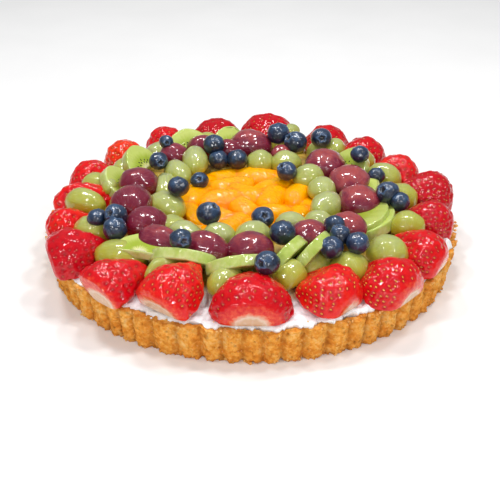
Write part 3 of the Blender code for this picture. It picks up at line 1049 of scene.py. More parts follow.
@dataclass
class Strawberries:
    """The ring of strawberry halves: stem ends cut off and turned out, tips in and up."""

    rows: int = 92
    columns: int = 104
    softness: float = 13.0
    grow: tuple[float, ...] = (1.03, 1.05, 1.05)
    droop: float = -8.0
    skin_mm: float = 0.35
    lumps_mm: Table = ((0.25, 9.0, 0), (0.08, 3.5, 50))  # height, length, seed added to the fruit's number
    tone_spread: float = 0.2
    seed: Seed = field(default_factory=lambda: Seed(1.8, 1.1, 0.7))
    seed_rows: float = 0.87
    seedless_mm: float = 2.6
    steepest_seed: float = -0.35
    dimple_depth_mm: float = 0.8
    dimple_width_mm: float = 1.4
    fruits: dict[int, Berry] = field(
        default_factory=lambda: {
            1: Berry(0.6, 2.6, 0.34, 0.10, 5.6, 0.1),
            2: Berry(1.0, 3.0, 0.50, 0.15, 5.8, 0.0, 0.88, (-129.0, -14.0, 4.6)),
            3: Berry(1.0, 3.4, 0.72, 0.50, 5.2, 0.45, 0.97),
            4: Berry(0.9, 2.2, 0.46, 0.35, 5.6, 0.0, 1.02),
            5: Berry(0.6, 2.6, 0.72, 0.80, 4.8, 0.4, 1.06),
            6: Berry(1.0, 3.4, 0.56, 0.85, 4.8, 0.1, 1.05),
            7: Berry(0.6, 2.6, 0.56, 0.50, 4.4, 0.1),
            8: Berry(0.4, 2.6, 0.32, 0.40, 4.2, 0.1),
            9: Berry(0.4, 2.6, 0.28, 0.40, 4.4, 0.1),
            14: Berry(0.8, 2.6, 0.22, 0.30, 4.8, 0.1),
            16: Berry(0.8, 2.6, 1.10, 0.70, 4.8, 0.1),
        }
    )

    def build(self, material: bpy.types.Material, top: Top) -> None:
        """Makes one piece for each strawberry of the frame.

        Args:
            material: The strawberry finish.
            top: The laid surface, which gets the fruit's points.
        """
        for node in nodes_with("strawberry"):
            shape = Shape(f"{node}_fruit")
            top.add(self.half(shape, convex_bodies(node)[0], int(node.split("_")[1])))
            shape.build(material, Kind.STRAWBERRY.value, (node,))

    def outline(self, body: Body, axis: np.ndarray, fruit: Berry) -> np.ndarray:
        """The fruit's smooth outline, its tip drawn in and its upper end scaled about its foot.

        A place moves towards the line from the centre to the tip by pointed x step(share of the way in).

        Args:
            body: The fruit's body.
            axis: Way from the tip to the stem.
            fruit: What sets it apart.

        Returns:
            Its vertices, on a ball grid.
        """
        side = unit(np.cross(UP, axis))
        axes = np.array([axis, side, np.cross(axis, side)])
        points = body.surface(ball_ways(self.rows, self.columns, FIRST), self.softness, axes, self.grow)
        inwards = (points - body.centre) @ -axis
        tip = points[inwards.argmax()]
        inwards = inwards / inwards.max()
        line = body.centre + (tip - body.centre) * inwards[:, None]
        points = points + (line - points) * (fruit.pointed * smooth_step(0.1, 1.0, inwards))[:, None]
        foot = body.centre * (1.0, 1.0, 0.0) + UP * points[:, 2].min()
        return foot + (points - foot) * (1.0 + (fruit.size - 1.0) * smooth_step(-1.0, 0.6, inwards))[:, None]

    def half(self, shape: Shape, body: Body, number: int) -> np.ndarray:
        """Adds one strawberry: its outline cut flat at the stem, with a dimple round each seed.

        The surface is outline + way x (skin + lumps - depth exp(-(distance to the next seed / width)^2)).

        Args:
            shape: Mesh that takes it.
            body: The fruit's body.
            number: The fruit's place in the ring.

        Returns:
            Its vertices.
        """
        fruit = self.fruits.get(number, Berry())
        random = np.random.default_rng(100 + number)
        tone = fruit.tone
        if number not in self.fruits:
            tone += random.uniform(-self.tone_spread, self.tone_spread)
        facing = np.where(body.normals @ body.outwards > 0.85, body.areas, 0.0)
        stem, cut = body.normals[facing.argmax()], body.offsets[facing.argmax()]
        axis = direction(body.azimuth, self.droop)
        points = self.outline(body, axis, fruit)
        if fruit.recut:
            azimuth, dip, taken = fruit.recut
            stem = direction(azimuth, dip)
            cut = (points @ stem).max() - taken * MM
            points = points - np.maximum(points @ stem - cut, 0.0)[:, None] * stem
        faces = ball_faces(self.rows, self.columns)
        ways, normals = unit(points - body.centre), grid_normals(points, faces)
        to_cut = (cut - points @ stem) / MM
        seeds = self.seed_places(points, fruit.spacing_mm, random)
        seeds = seeds[(to_cut[seeds] > self.seedless_mm) & (normals[seeds, 2] > self.steepest_seed)]
        gap = np.linalg.norm(points[:, None, :] - points[seeds][None], axis=2).min(axis=1) / MM
        dimple = np.exp(-((gap / self.dimple_width_mm) ** 2))
        lumps = ripples(points, tuple((high, size * MM, number + more) for high, size, more in self.lumps_mm))
        skin = smooth_step(0.0, 2.5, to_cut)
        points = points + ways * (skin * (lumps + self.skin_mm - self.dimple_depth_mm * dimple) * MM)[:, None]
        stem_end = self.paleness(points, to_cut, stem, math.sqrt(facing.max() / math.pi), fruit)
        # Painted shade in the seed dimples, none near the cut.
        hollow = np.clip(dimple * 0.8, 0, 1) * skin
        shape.add(points, faces, tone=tone, ripe=fruit.ripe, seed=0.0, dimple=hollow, stem=stem_end)
        ripe = np.clip(fruit.ripe + random.uniform(-0.25, 0.15, len(seeds)), 0, 1)
        headings = np.tile(axis, (len(seeds), 1))
        spots = points[seeds] + normals[seeds] * 0.05 * MM
        self.seed.strew(
            shape, spots, normals[seeds], headings, tone=tone, ripe=ripe, seed=1.0, dimple=0.0, stem=0.0
        )
        return points

    def paleness(
        self, points: np.ndarray, to_cut: np.ndarray, stem: np.ndarray, wide: float, fruit: Berry
    ) -> np.ndarray:
        """How pale each vertex is: most near the foot of the cut, fading over the skin by exp(-way / spread).

        Args:
            points: Vertices of the fruit.
            to_cut: Their distance behind the cut's plane in millimetres.
            stem: Way square to the cut.
            wide: Radius of the cut in metres.
            fruit: What sets the fruit apart.

        Returns:
            Shares of 0 to 1.
        """
        near = points[to_cut < 0.6]
        hub = (near.max(axis=0) + near.min(axis=0)) / 2
        hub[2] = near[:, 2].min() + 1.0 * MM
        from_hub = (points - hub) - ((points - hub) @ stem)[:, None] * stem
        from_hub = np.linalg.norm(from_hub * (1.0, 1.0, 1.3), axis=1) / wide
        fading = np.exp(-np.maximum(to_cut - 0.5, 0.0) / fruit.spread_mm)
        return np.clip(1.15 * fruit.pale * fading * (1.0 - 0.8 * smooth_step(0.45, 1.35, from_hub)), 0.0, 1.0)

    def seed_places(self, points: np.ndarray, spacing_mm: float, random: np.random.Generator) -> np.ndarray:
        """Vertices nearest to staggered rows of seeds, spacing apart in the rows and seed_rows of it between.

        Args:
            points: Vertices of the fruit's ball grid.
            spacing_mm: Distance between seeds.
            random: Source of the small shifts.

        Returns:
            Indices of the chosen vertices.
        """
        grid = points[1:-1].reshape(self.rows, self.columns, 3)
        steps = np.linalg.norm(np.diff(grid, axis=0), axis=2).mean(axis=1)
        length = np.concatenate([[0.0], np.cumsum(steps)])
        around = np.linalg.norm(np.roll(grid, -1, axis=1) - grid, axis=2).sum(axis=1)
        apart = self.seed_rows * spacing_mm * MM
        found = []
        for index, level in enumerate(np.arange(0.5, length[-1] / apart) * apart):
            row = int(np.searchsorted(length, level).clip(0, self.rows - 1))
            count = max(3, round(around[row] / (spacing_mm * MM)))
            turns = (np.arange(count) + 0.5 * (index % 2) + random.uniform(-0.16, 0.16, count)) / count
            rows = np.clip(row + random.integers(-1, 2, count), 0, self.rows - 1)
            found.append(1 + rows * self.columns + np.round(turns * self.columns).astype(int) % self.columns)
        return np.unique(np.concatenate(found))


@dataclass
class Grapes:
    """Halved grapes, cut side down: an outer green ring, a red ring and an inner green ring."""

    rows: int = 34
    columns: int = 44
    softness: float = 15.0
    roundness: float = 0.4
    grow: tuple[float, ...] = (1.07, 1.12, 1.22)
    swell_mm: float = 0.16
    inner_ring_mm: float = 80.0
    # loose fruit: azimuth, reach, level below, length, width, height (mm), heading
    loose_green: Table = (
        (-65, 90, 27, 22, 19, 15, 30),
        (-139, 66, 30, 24, 18, 15, -50),
        (52, 102, 34, 18, 14, 12, 60),
        (75, 121, 33, 16, 12, 10, 80),
        (176, 97, 40, 12, 10, 8, 80),
        (57, 100, 27, 25, 19, 16, 140),
        (74, 101, 27, 24, 19, 16, 160),
        (92, 101, 27, 25, 19, 16, 190),
        (110, 102, 27, 25, 19, 16, 205),
        (131, 104, 27, 25, 19, 16, 215),
        (151, 103, 27, 25, 19, 16, 235),
    )
    loose_red: Table = (
        (71, 70, 35, 18, 14, 12, 20),
        (116, 84, 36, 22, 17, 14, 205),
        (104, 68, 37, 21, 16, 14, 190),
    )

    def half(self, shape: Shape, body: Body, tone: float) -> np.ndarray:
        """Adds one grape: the softened body, swollen by waves of 11 mm.

        Args:
            shape: Mesh that takes it.
            body: The fruit's body.
            tone: Shade of this fruit, 0 to 1.

        Returns:
            Its vertices.
        """
        flat = (body.corners - body.centre)[:, :2]
        _, _, main = np.linalg.svd(flat - flat.mean(axis=0), full_matrices=False)
        axis = np.array([main[0, 0], main[0, 1], 0.0])
        axes = np.array([axis, np.cross(UP, axis), UP])
        ways = ball_ways(self.rows, self.columns, FIRST)
        points = body.surface(ways, self.softness, axes, self.grow, self.roundness)
        swell = self.swell_mm * MM * waves(points, 11 * MM, int(tone * 1000))
        points = points + unit(points - body.centre) * swell[:, None]
        low, high = points[:, 2].min(), points[:, 2].max()
        offset = points - body.centre
        shape.add(
            points,
            ball_faces(self.rows, self.columns),
            tone=tone,
            # Height on the fruit, which makes the top paler as painted sheen.
            sheen_height=(points[:, 2] - low) / (high - low),
            around=np.arctan2(offset @ np.cross(axis, UP), offset @ UP) * 2.2,
            along=offset @ axis / (10 * MM) * 0.35 + tone * 9,
        )
        return points

    def build(self, green: bpy.types.Material, red: bpy.types.Material, top: Top) -> None:
        """Makes a piece for each green or red grape node and one for the loose fruit of each colour.

        Args:
            green: Finish of green grapes.
            red: Finish of red grapes.
            top: The laid surface.
        """
        random = np.random.default_rng(11)
        for node in nodes_with("grape"):
            kind = Kind.RED_GRAPE if node.startswith("red") else Kind.GREEN_GRAPE
            shape = Shape(f"{node}_fruit")
            for body in convex_bodies(node):
                top.add(self.half(shape, body, self.tone(body, kind, random)))
            shape.build(red if kind is Kind.RED_GRAPE else green, kind.value, (node,))
        for name, table, material, kind in (
            ("green_grapes_loose", self.loose_green, green, Kind.GREEN_GRAPE),
            ("red_grapes_loose", self.loose_red, red, Kind.RED_GRAPE),
        ):
            shape = Shape(name)
            for azimuth, reach, foot, length, width, height, heading in table:
                centre = polar(azimuth, reach, foot + height * 0.3)
                body = loose_body(centre, np.array([length, width, height * 1.4]) * MM, heading, -0.45)
                top.add(self.half(shape, body, random.uniform(0.3, 0.7)))
            shape.build(material, kind.value)

    def tone(self, body: Body, kind: Kind, random: np.random.Generator) -> float:
        """Shade of one grape: red runs from purple on the left to rose on the right; inner green is pale.

        Args:
            body: The fruit.
            kind: Red or green.
            random: Source of the differences.

        Returns:
            A shade of 0 to 1.
        """
        if kind is Kind.RED_GRAPE:
            shade = 0.45 + 0.3 * math.cos(math.radians(body.azimuth)) + random.uniform(-0.15, 0.15)
            return float(np.clip(shade, 0, 1))
        inner = float(np.linalg.norm(body.centre[:2])) < self.inner_ring_mm * MM
        return float(random.uniform(0.55, 0.95) if inner else random.uniform(0.1, 0.5))


@dataclass
class Blueberries:
    """Blueberries in clusters and alone: round, with a hollow five-lobed crown."""

    rows: int = 40
    columns: int = 50
    softness: float = 18.0
    roundness: float = 0.5
    grow: tuple[float, ...] = (1.05, 1.05, 1.05)
    hollow: float = 0.24  # depth of the crown, as a share of the radius
    lobe: float = 0.055  # height of its lobes
    lobes: tuple[float, float] = (0.37, 0.10)  # radians from its middle to their ends, and how far they wave
    lobe_width: float = 0.10
    side: tuple[float, float] = (0.20, 0.34)  # radians between which the crown's side rises
    # azimuth, reach, diameter, sinking (mm)
    loose: Table = (
        (151, 75, 13, 0.8),
        (156, 39, 12, 3.0),
        (-163, 50, 13.5, 1.0),
        (-119, 55, 15, 1.0),
        (-116, 95, 13, 0.8),
        (-80, 42, 14, 1.0),
        (-74, 70, 15.5, 1.0),
        (-85, 107, 14.5, 0.8),
        (13, 89, 11.5, 3.0),
        (26, 85, 12.5, 0.8),
        (40, 32, 13.5, 1.0),
        (56, 93, 15, 1.0),
        (136, 86, 10, 3.5),
        (-155, 107.5, 12, 7.5),
    )

    def berry(self, shape: Shape, body: Body, random: np.random.Generator) -> np.ndarray:
        """Adds one berry: the softened body, whose pole at the crown is pressed in and ringed by lobes.

        With a the angle from the crown and t the turn, the lobes end at 0.37 + 0.1 cos 5t; the crown sinks
        by its share of the radius inside 0.2, and the lobes rise by exp(-((a - end) / 0.1)^2).

        Args:
            shape: Mesh that takes it.
            body: The fruit's body.
            random: Source of the crown's tilt.

        Returns:
            Its vertices.
        """
        azimuth = random.uniform(-math.pi, math.pi)
        lean = random.uniform(0.4, 1.6)
        off = math.sin(lean)
        crown = np.array([math.cos(azimuth) * off, math.sin(azimuth) * off, math.cos(lean)])
        ways = ball_ways(self.rows, self.columns, crown)
        points = body.surface(ways, self.softness, np.eye(3), self.grow, self.roundness)
        radius = np.linalg.norm(points - body.centre, axis=1).mean()
        angle = np.arccos(np.clip(ways @ crown, -1, 1))
        side, front = square_to(crown)
        turn = np.arctan2(ways @ front, ways @ side) + random.uniform(0, 6)
        ragged = 0.03 * np.sin(turn * 3 + 1) + 0.02 * np.sin(turn * 11)
        middle, swing = self.lobes
        edge = middle + swing * np.cos(5 * turn) + ragged
        hollow = 1.0 - smooth_step(*self.side, angle)
        lobe = np.exp(-(((angle - edge) / self.lobe_width) ** 2)) * (angle < edge + 0.15)
        relief = 1.0 - self.hollow * hollow + self.lobe * lobe
        points = body.centre + (points - body.centre) * relief[:, None]
        points = points + ways * (0.09 * waves(points, 6 * MM, 5) * MM)[:, None]
        shape.add(
            points,
            ball_faces(self.rows, self.columns),
            tone=random.uniform(0.0, 0.55),
            # Height on the berry, which lays more pale bloom on top as painted sheen.
            sheen_height=(points[:, 2] - body.centre[2]) / radius,
            crown=np.clip(hollow * 1.3, 0, 1),
            lobe=np.clip(lobe * (angle > 0.24), 0, 1) * 0.8,
        )
        return points

    def build(self, material: bpy.types.Material, top: Top) -> None:
        """Makes a piece for each cluster and one for the berries that lie alone.

        Args:
            material: The blueberry finish.
            top: The laid surface.
        """
        random = np.random.default_rng(23)
        for node in nodes_with("blueberries"):
            shape = Shape(f"{node}_fruit")
            for body in convex_bodies(node):
                top.add(self.berry(shape, body, random))
            shape.build(material, Kind.BLUEBERRY.value, (node,))
        shape = Shape("blueberries_loose")
        for azimuth, reach, diameter, sinking in self.loose:
            middle = polar(azimuth, reach, 0.0)
            middle[2] = top.rest(middle[0], middle[1], diameter / 2 * MM) - sinking * MM
            LOG.info("blueberry at %d, %d mm: foot %.1f mm", azimuth, reach, middle[2] / MM - diameter / 2)
            size = np.array([diameter, diameter, diameter * 0.9]) * MM
            body = loose_body(middle, size, random.uniform(0, 180))
            top.add(self.berry(shape, replace(body, centre=middle), random))
        shape.build(material, Kind.BLUEBERRY.value)


@dataclass(frozen=True)
class Disc:
    """The whole disc that a half slice was cut from, in metres."""

    middle: np.ndarray
    radius: float
    across: np.ndarray
    rise: np.ndarray
    normal: np.ndarray
    half: float  # half the thickness


@dataclass
class KiwiSlices:
    """Half slices of peeled kiwi, leaning on each other with their cut edges down."""

    columns: int = 112
    edge_mm: float = 0.9
    steps: int = 12  # rings of faces across each side
    bends: int = 4  # rings round each edge
    # loose slices: azimuth, reach, level of the middle (mm), depth, width, thickness (mm), heading, lean
    loose: Table = (
        (-131.0, 98.5, 40.0, 20, 36, 6.0, 76, 5),
        (6, 83, 39.0, 14, 22, 7, 20, 20),
    )
    # a slice pressed thinner than this by its neighbours is made fuller, by these shares below and above
    full_mm: float = 7.2
    fuller: tuple[float, float] = (0.6, 0.4)
    seed: Seed = field(default_factory=lambda: Seed(1.7, 0.85, 0.6))
    seeds: int = 30
    seed_rings: tuple[float, float] = (0.36, 0.13)  # of the radius: the inner row, and on to the outer one
    seed_margin_mm: float = 1.5
    uneven_mm: tuple[float, float] = (0.12, 0.06)  # of the outline and of the faces
    # node: how far past its cut edge a slice's core lies (mm), where other fruit covers a fuller slice
    core_past_mm: dict[str, float] = field(default_factory=lambda: {"kiwi_slices_right": 9.0})

    def half_slice(self, spot: tuple[float, ...]) -> Body:
        """A half disc as a body, for a slice that the frame leaves to the looks.

        Args:
            spot: One row of the loose table.

        Returns:
            The body: corners on an arc of half an ellipse, on both faces.
        """
        azimuth, reach, level, depth, width, thick, heading, lean = spot
        bend = np.linspace(-math.pi / 2, math.pi / 2, 15)
        arc = np.column_stack([np.cos(bend) * depth - depth / 2, np.sin(bend) * width / 2])
        local = np.vstack([np.column_stack([arc, np.full(len(arc), z)]) for z in (0.0, thick)]) * MM
        turn = Matrix.Rotation(math.radians(heading), 3, "Z") @ Matrix.Rotation(-math.radians(lean), 3, "Y")
        return hull_body("", local @ np.array(turn).T + polar(azimuth, reach, level))

    def slab(self, body: Body) -> tuple[np.ndarray, float, float]:
        """Way square to the slice and the two offsets of its faces.

        Args:
            body: The slice's body.

        Returns:
            The unit normal that points up, and the offsets of the lower and upper face along it.
        """
        order = np.argsort(-body.areas)
        normal = body.normals[order[0]]
        others = body.normals[order[1:5]] @ normal
        partner = order[1:5][int(np.argmin(others))]
        upper, lower = body.offsets[order[0]], -body.offsets[partner]
        if normal[2] < 0:
            normal, upper, lower = -normal, -lower, -upper
        return normal, float(lower), float(upper)

    def sections(self, half: float) -> tuple[np.ndarray, np.ndarray, np.ndarray, np.ndarray]:
        """The slice's section from the middle of its upper face round the edge to that of the lower one.

        Args:
            half: Half the thickness in metres.

        Returns:
            For each ring (rings, 1): the share of the way out, how far in and how high it lies in metres;
            and how much of it (rings) is peeled side, 0 to 1.
        """
        edge = min(self.edge_mm * MM, half * 0.6)
        shares = np.linspace(0.0, 1.0, self.steps + 1)[1:-1]
        bend = np.linspace(0, math.pi / 2, self.bends)
        rings = [(share, 0.0, half) for share in shares]
        rings += [(1.0, edge * (1 - math.sin(angle)), half - edge * (1 - math.cos(angle))) for angle in bend]
        rings += [(1.0, 0.0, (half - edge) * place) for place in (0.4, -0.4)]
        rings += [(1.0, edge * (1 - math.cos(angle)), -half + edge * (1 - math.sin(angle))) for angle in bend]
        rings += [(share, 0.0, -half) for share in shares[::-1]]
        share, inset, height = (np.array(column)[:, None] for column in zip(*rings))
        first, last = len(shares), len(shares) + 2 * self.bends + 2
        peeled = np.zeros(len(rings))
        peeled[first + 1 : last] = 1.0
        peeled[[first, last]] = 0.8
        return share, inset, height, peeled

    def slice(
        self, shape: Shape, body: Body, normal: np.ndarray, low: float, high: float, tone: float
    ) -> np.ndarray:
        """Adds one slice: a flat outline rho(t) with rounded edges, from face to face.

        Row by row the surface is middle + s rho(t) way(t) + h normal, where s and h follow the section:
        across the upper face, round its edge, down the peeled side, round the lower edge and back.

        Args:
            shape: Mesh that takes it.
            body: The slice's body.
            normal: Way square to the faces.
            low: Offset of the lower face along normal.
            high: Offset of the upper face along normal.
            tone: Shade of this slice.

        Returns:
            Its vertices.
        """
        middle = body.centre + normal * ((low + high) / 2 - body.centre @ normal)
        across = unit(np.cross(normal, UP))
        rise = np.cross(across, normal)
        rise *= np.sign(rise[2])
        turn, _ = circle(self.columns)
        ways = np.cos(turn)[:, None] * across + np.sin(turn)[:, None] * rise
        centred = replace(body, centre=middle)
        rho = np.mean([np.roll(centred.reach(ways), step) for step in range(-3, 4)], axis=0)
        outline, bumps = self.uneven_mm
        rho = rho + outline * MM * waves(ways, 0.9, int(tone * 999))
        half = (high - low) / 2
        share, inset, height, peeled = self.sections(half)
        flat = (share * rho[None, :] - inset)[:, :, None] * ways[None] + height[:, :, None] * normal
        points = np.vstack([middle + normal * half, (middle + flat).reshape(-1, 3), middle - normal * half])
        points = points + normal * (bumps * MM * waves(points, 9 * MM, int(tone * 999) + 3))[:, None]
        past = self.core_past_mm.get(body.node, 0.0) * MM
        core = middle - rise * (body.span(-rise)[1] + middle @ rise + past)
        disc = Disc(core, float(np.quantile(rho, 0.95)) * 0.98 + past, across, rise, normal, half)
        spot = points - core
        spot = spot - (spot @ normal)[:, None] * normal
        shape.add(
            points,
            self.facing(ball_faces(len(share), self.columns), points, middle),
            tone=tone,
            ring=np.linalg.norm(spot, axis=1) / disc.radius,
            turn=np.arctan2(spot @ rise, spot @ across),
            peeled=np.concatenate([[0.0], np.repeat(peeled, self.columns), [0.0]]),
            seed=0.0,
        )
        if body.node:
            self.pips(shape, disc, centred, tone)
        return points

    def facing(self, faces: list[np.ndarray], points: np.ndarray, middle: np.ndarray) -> list[np.ndarray]:
        """The same faces, turned round if they point into the slice.

        Args:
            faces: Arrays of vertex indices.
            points: The slice's vertices.
            middle: Its middle.

        Returns:
            The faces, all outwards.
        """
        corner = points[faces[1]]
        cross = np.cross(corner[:, 2] - corner[:, 0], corner[:, 3] - corner[:, 1])
        outward = ((corner.mean(axis=1) - middle) * cross).sum()
        return faces if outward > 0 else [array[:, ::-1] for array in faces]

    def pips(self, shape: Shape, disc: Disc, body: Body, tone: float) -> None:
        """Strews seeds over both faces in two staggered rows round the core, pointing at it.

        Args:
            shape: Mesh that takes them.
            disc: The whole disc.
            body: The slice, whose outline keeps the seeds in.
            tone: Shade of the slice.
        """
        random = np.random.default_rng(int(tone * 9999))
        order = np.arange(self.seeds)
        turn = (order + random.uniform(-0.3, 0.3, self.seeds)) / self.seeds * 2 * math.pi
        inner, step = self.seed_rings
        ring = (inner + step * (order % 2) + random.uniform(-0.03, 0.05, self.seeds)) * disc.radius
        ways = np.cos(turn)[:, None] * disc.across + np.sin(turn)[:, None] * disc.rise
        spots = disc.middle + ways * ring[:, None]
        margin = self.seed_margin_mm * MM * (body.normals @ disc.normal < 0.9)
        inside = ((spots @ body.normals.T) < body.offsets - margin).all(axis=1)
        spots, ways = spots[inside], ways[inside]
        values = {"tone": tone, "ring": 0.4, "turn": 0.0, "peeled": 0.0, "seed": 1.0}
        for out in (disc.normal, -disc.normal):
            places = spots + out * (disc.half + 0.02 * MM)
            self.seed.strew(shape, places, np.tile(out, (len(spots), 1)), ways, **values)

    def build(self, material: bpy.types.Material, top: Top) -> None:
        """Makes a piece for each kiwi node and one for the loose slices.

        Args:
            material: The kiwi finish.
            top: The laid surface.
        """
        random = np.random.default_rng(31)
        for node in nodes_with("kiwi"):
            shape = Shape(f"{node}_fruit")
            for body in convex_bodies(node):
                normal, low, high = self.slab(body)
                short = max(0.0, self.full_mm * MM - (high - low))
                low, high = low - self.fuller[0] * short, high + self.fuller[1] * short
                top.add(self.slice(shape, body, normal, low, high, random.uniform(0.0, 1.0)))
            shape.build(material, Kind.KIWI.value, (node,))
        shape = Shape("kiwi_slices_loose")
        for body in map(self.half_slice, self.loose):
            top.add(self.slice(shape, body, *self.slab(body), random.uniform(0.0, 1.0)))
        shape.build(material, Kind.KIWI.value)


@dataclass
class MandarinHeap:
    """Mandarin segments heaped in the middle: bent spindles lying over each other under one skin of glaze."""

    rows: int = 150
    columns: int = 440
    radius_mm: tuple[float, float] = (52.0, 51.5)
    shift_mm: tuple[float, float, float] = (-1.5, 5.5, 0.0)  # from the middle of the node's box
    bow_mm: float = 14.5
    half_turn: float = 1.18
    half_width_mm: float = 9.4
    half_height_mm: float = 7.8
    blend_mm: float = 0.7
    bumps: Table = ((0.10, 4.0, 52, 24), (0.04, 1.6, 53, 24))  # ripples of the glaze, in millimetres
    fall_mm: tuple[float, float] = (2.4, 3.0)  # of the ground under the segments: to the edge, and there
    deep_mm: float = 8.6  # how far below the node's top the segments' middle lines lie
    sagging_mm: tuple[float, float] = (3.2, 44.0)  # how much lower a segment lies, and at what reach
    skirt_mm: float = 2.0
    # azimuth, reach (mm), height over the usual (mm), heading, size
    segments: Table = (
        (95, 2, 1.4, 150, 1.05),
        (345, 17, 1.8, 70, 1.0),
        (205, 19, 2.2, 15, 1.0),
        (265, 16, 0.6, 118, 0.95),
        (125, 22, 1.0, 195, 1.05),
        (45, 24, 1.2, 215, 1.0),
        (300, 30, 1.4, 15, 0.95),
        (178, 35, 1.4, 65, 0.95),
        (232, 32, 0.8, 140, 1.0),
        (8, 37, 2.6, 55, 1.0),
        (82, 37, 0.8, 172, 1.05),
        (116, 41, 0.4, 205, 0.95),
        (148, 39, 0.2, 235, 0.95),
        (208, 42, 0.2, 110, 0.9),
        (258, 38, 0.4, 60, 0.95),
        (281, 40, 0.4, 160, 0.95),
        (325, 40, 0.2, 45, 0.9),
        (50, 42, 0.6, 140, 0.95),
        (345, 45, 0.6, 95, 0.85),
    )

    def build(self, material: bpy.types.Material, top: Top) -> None:
        """Makes the heap as one piece.

        Args:
            material: The mandarin finish.
            top: The laid surface.
        """
        low, high = (np.array(corner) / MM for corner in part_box("mandarin_heap"))
        middle = (low + high) / 2 * (1.0, 1.0, 0.0) + self.shift_mm
        _, ring = circle(self.columns)
        edge = ring[:, :2] * np.array(self.radius_mm) * (1.0 + 0.03 * waves(ring, 0.8, 51))[:, None]
        share = np.sqrt(np.linspace(0.0, 1.0, self.rows + 1)[1:]) ** 1.15
        spots = (share[:, None, None] * edge[None]).reshape(-1, 2)
        level, shaded_crease = self.level(spots, high[2], np.repeat(share, self.columns))
        points = np.column_stack([spots + middle[:2], level])
        points[:, 2] += ripples(points, self.bumps)
        base = low[2] - self.skirt_mm
        foot = np.column_stack([edge * 0.99 + middle[:2], np.full(self.columns, base)])
        crown = [[middle[0], middle[1], level[: self.columns].mean()]]
        whole = np.vstack([crown, points, foot, [[middle[0], middle[1], base]]]) * MM
        # Painted shade in the creases, and full shade on the skirt under the heap.
        deep = np.concatenate([shaded_crease[:1], shaded_crease, np.ones(self.columns + 1)])
        shape = Shape("mandarin_segments")
        shape.add(whole, ball_faces(self.rows + 1, self.columns), shaded_crease=deep)
        top.add(points * MM)
        shape.build(material, Kind.MANDARIN.value, ("mandarin_heap",))

    def level(self, spots: np.ndarray, high: float, share: np.ndarray) -> tuple[np.ndarray, np.ndarray]:
        """Height of the heap: the highest segment at each place, softly joined to the next one.

        A segment's middle line is an arc of radius bow. With u the share of the way along the arc and v the
        distance from it, its height is base + h s (1 - (v / w s)^2)^0.45, where s = (1 - |u|^2.6)^0.5.

        Args:
            spots: Places (n, 2) in millimetres from the heap's middle.
            high: Level of the heap's top in millimetres.
            share: Distance from the middle as a share of the heap's radius.

        Returns:
            The level at each place, and how near it is to a border between segments or to the ground under
            them, 0 to 1, which sets painted shade there.
        """
        slope, brink = self.fall_mm
        ground = high - self.deep_mm - slope * share**2 - brink * smooth_step(0.9, 1.0, share)
        best, second = ground.copy(), ground - 3.0
        drop, far = self.sagging_mm
        for azimuth, reach, extra, heading, size in self.segments:
            way = direction(heading, 0.0)[:2]
            local = spots - reach * direction(azimuth, 0.0)[:2]
            along = local @ way
            across = local @ (-way[1], way[0]) + self.bow_mm * size * 0.82
            u = np.arctan2(along, across) / self.half_turn
            v = np.hypot(along, across) - self.bow_mm * size
            swell = np.sqrt(np.maximum(1.0 - np.abs(u) ** 2.6, 0.0)) * size
            bulge = 1.0 - (v / np.maximum(self.half_width_mm * swell, 1e-6)) ** 2
            base = high - self.deep_mm + extra - drop * (reach / far) ** 2
            over = base + self.half_height_mm * swell * np.sqrt(np.maximum(bulge, 0)) ** 0.9
            height = np.where(bulge > 0, over, -99.0)
            second = np.maximum(second, np.minimum(best, height))
            best = np.maximum(best, height)
        gap = best - second
        soft = best + self.blend_mm * np.exp(-gap / self.blend_mm)
        return soft, 0.7 * np.exp(-gap / 0.9) + 0.3 * (best - ground < 0.3)


# ---------------------------------------------------------------- cream and pastry


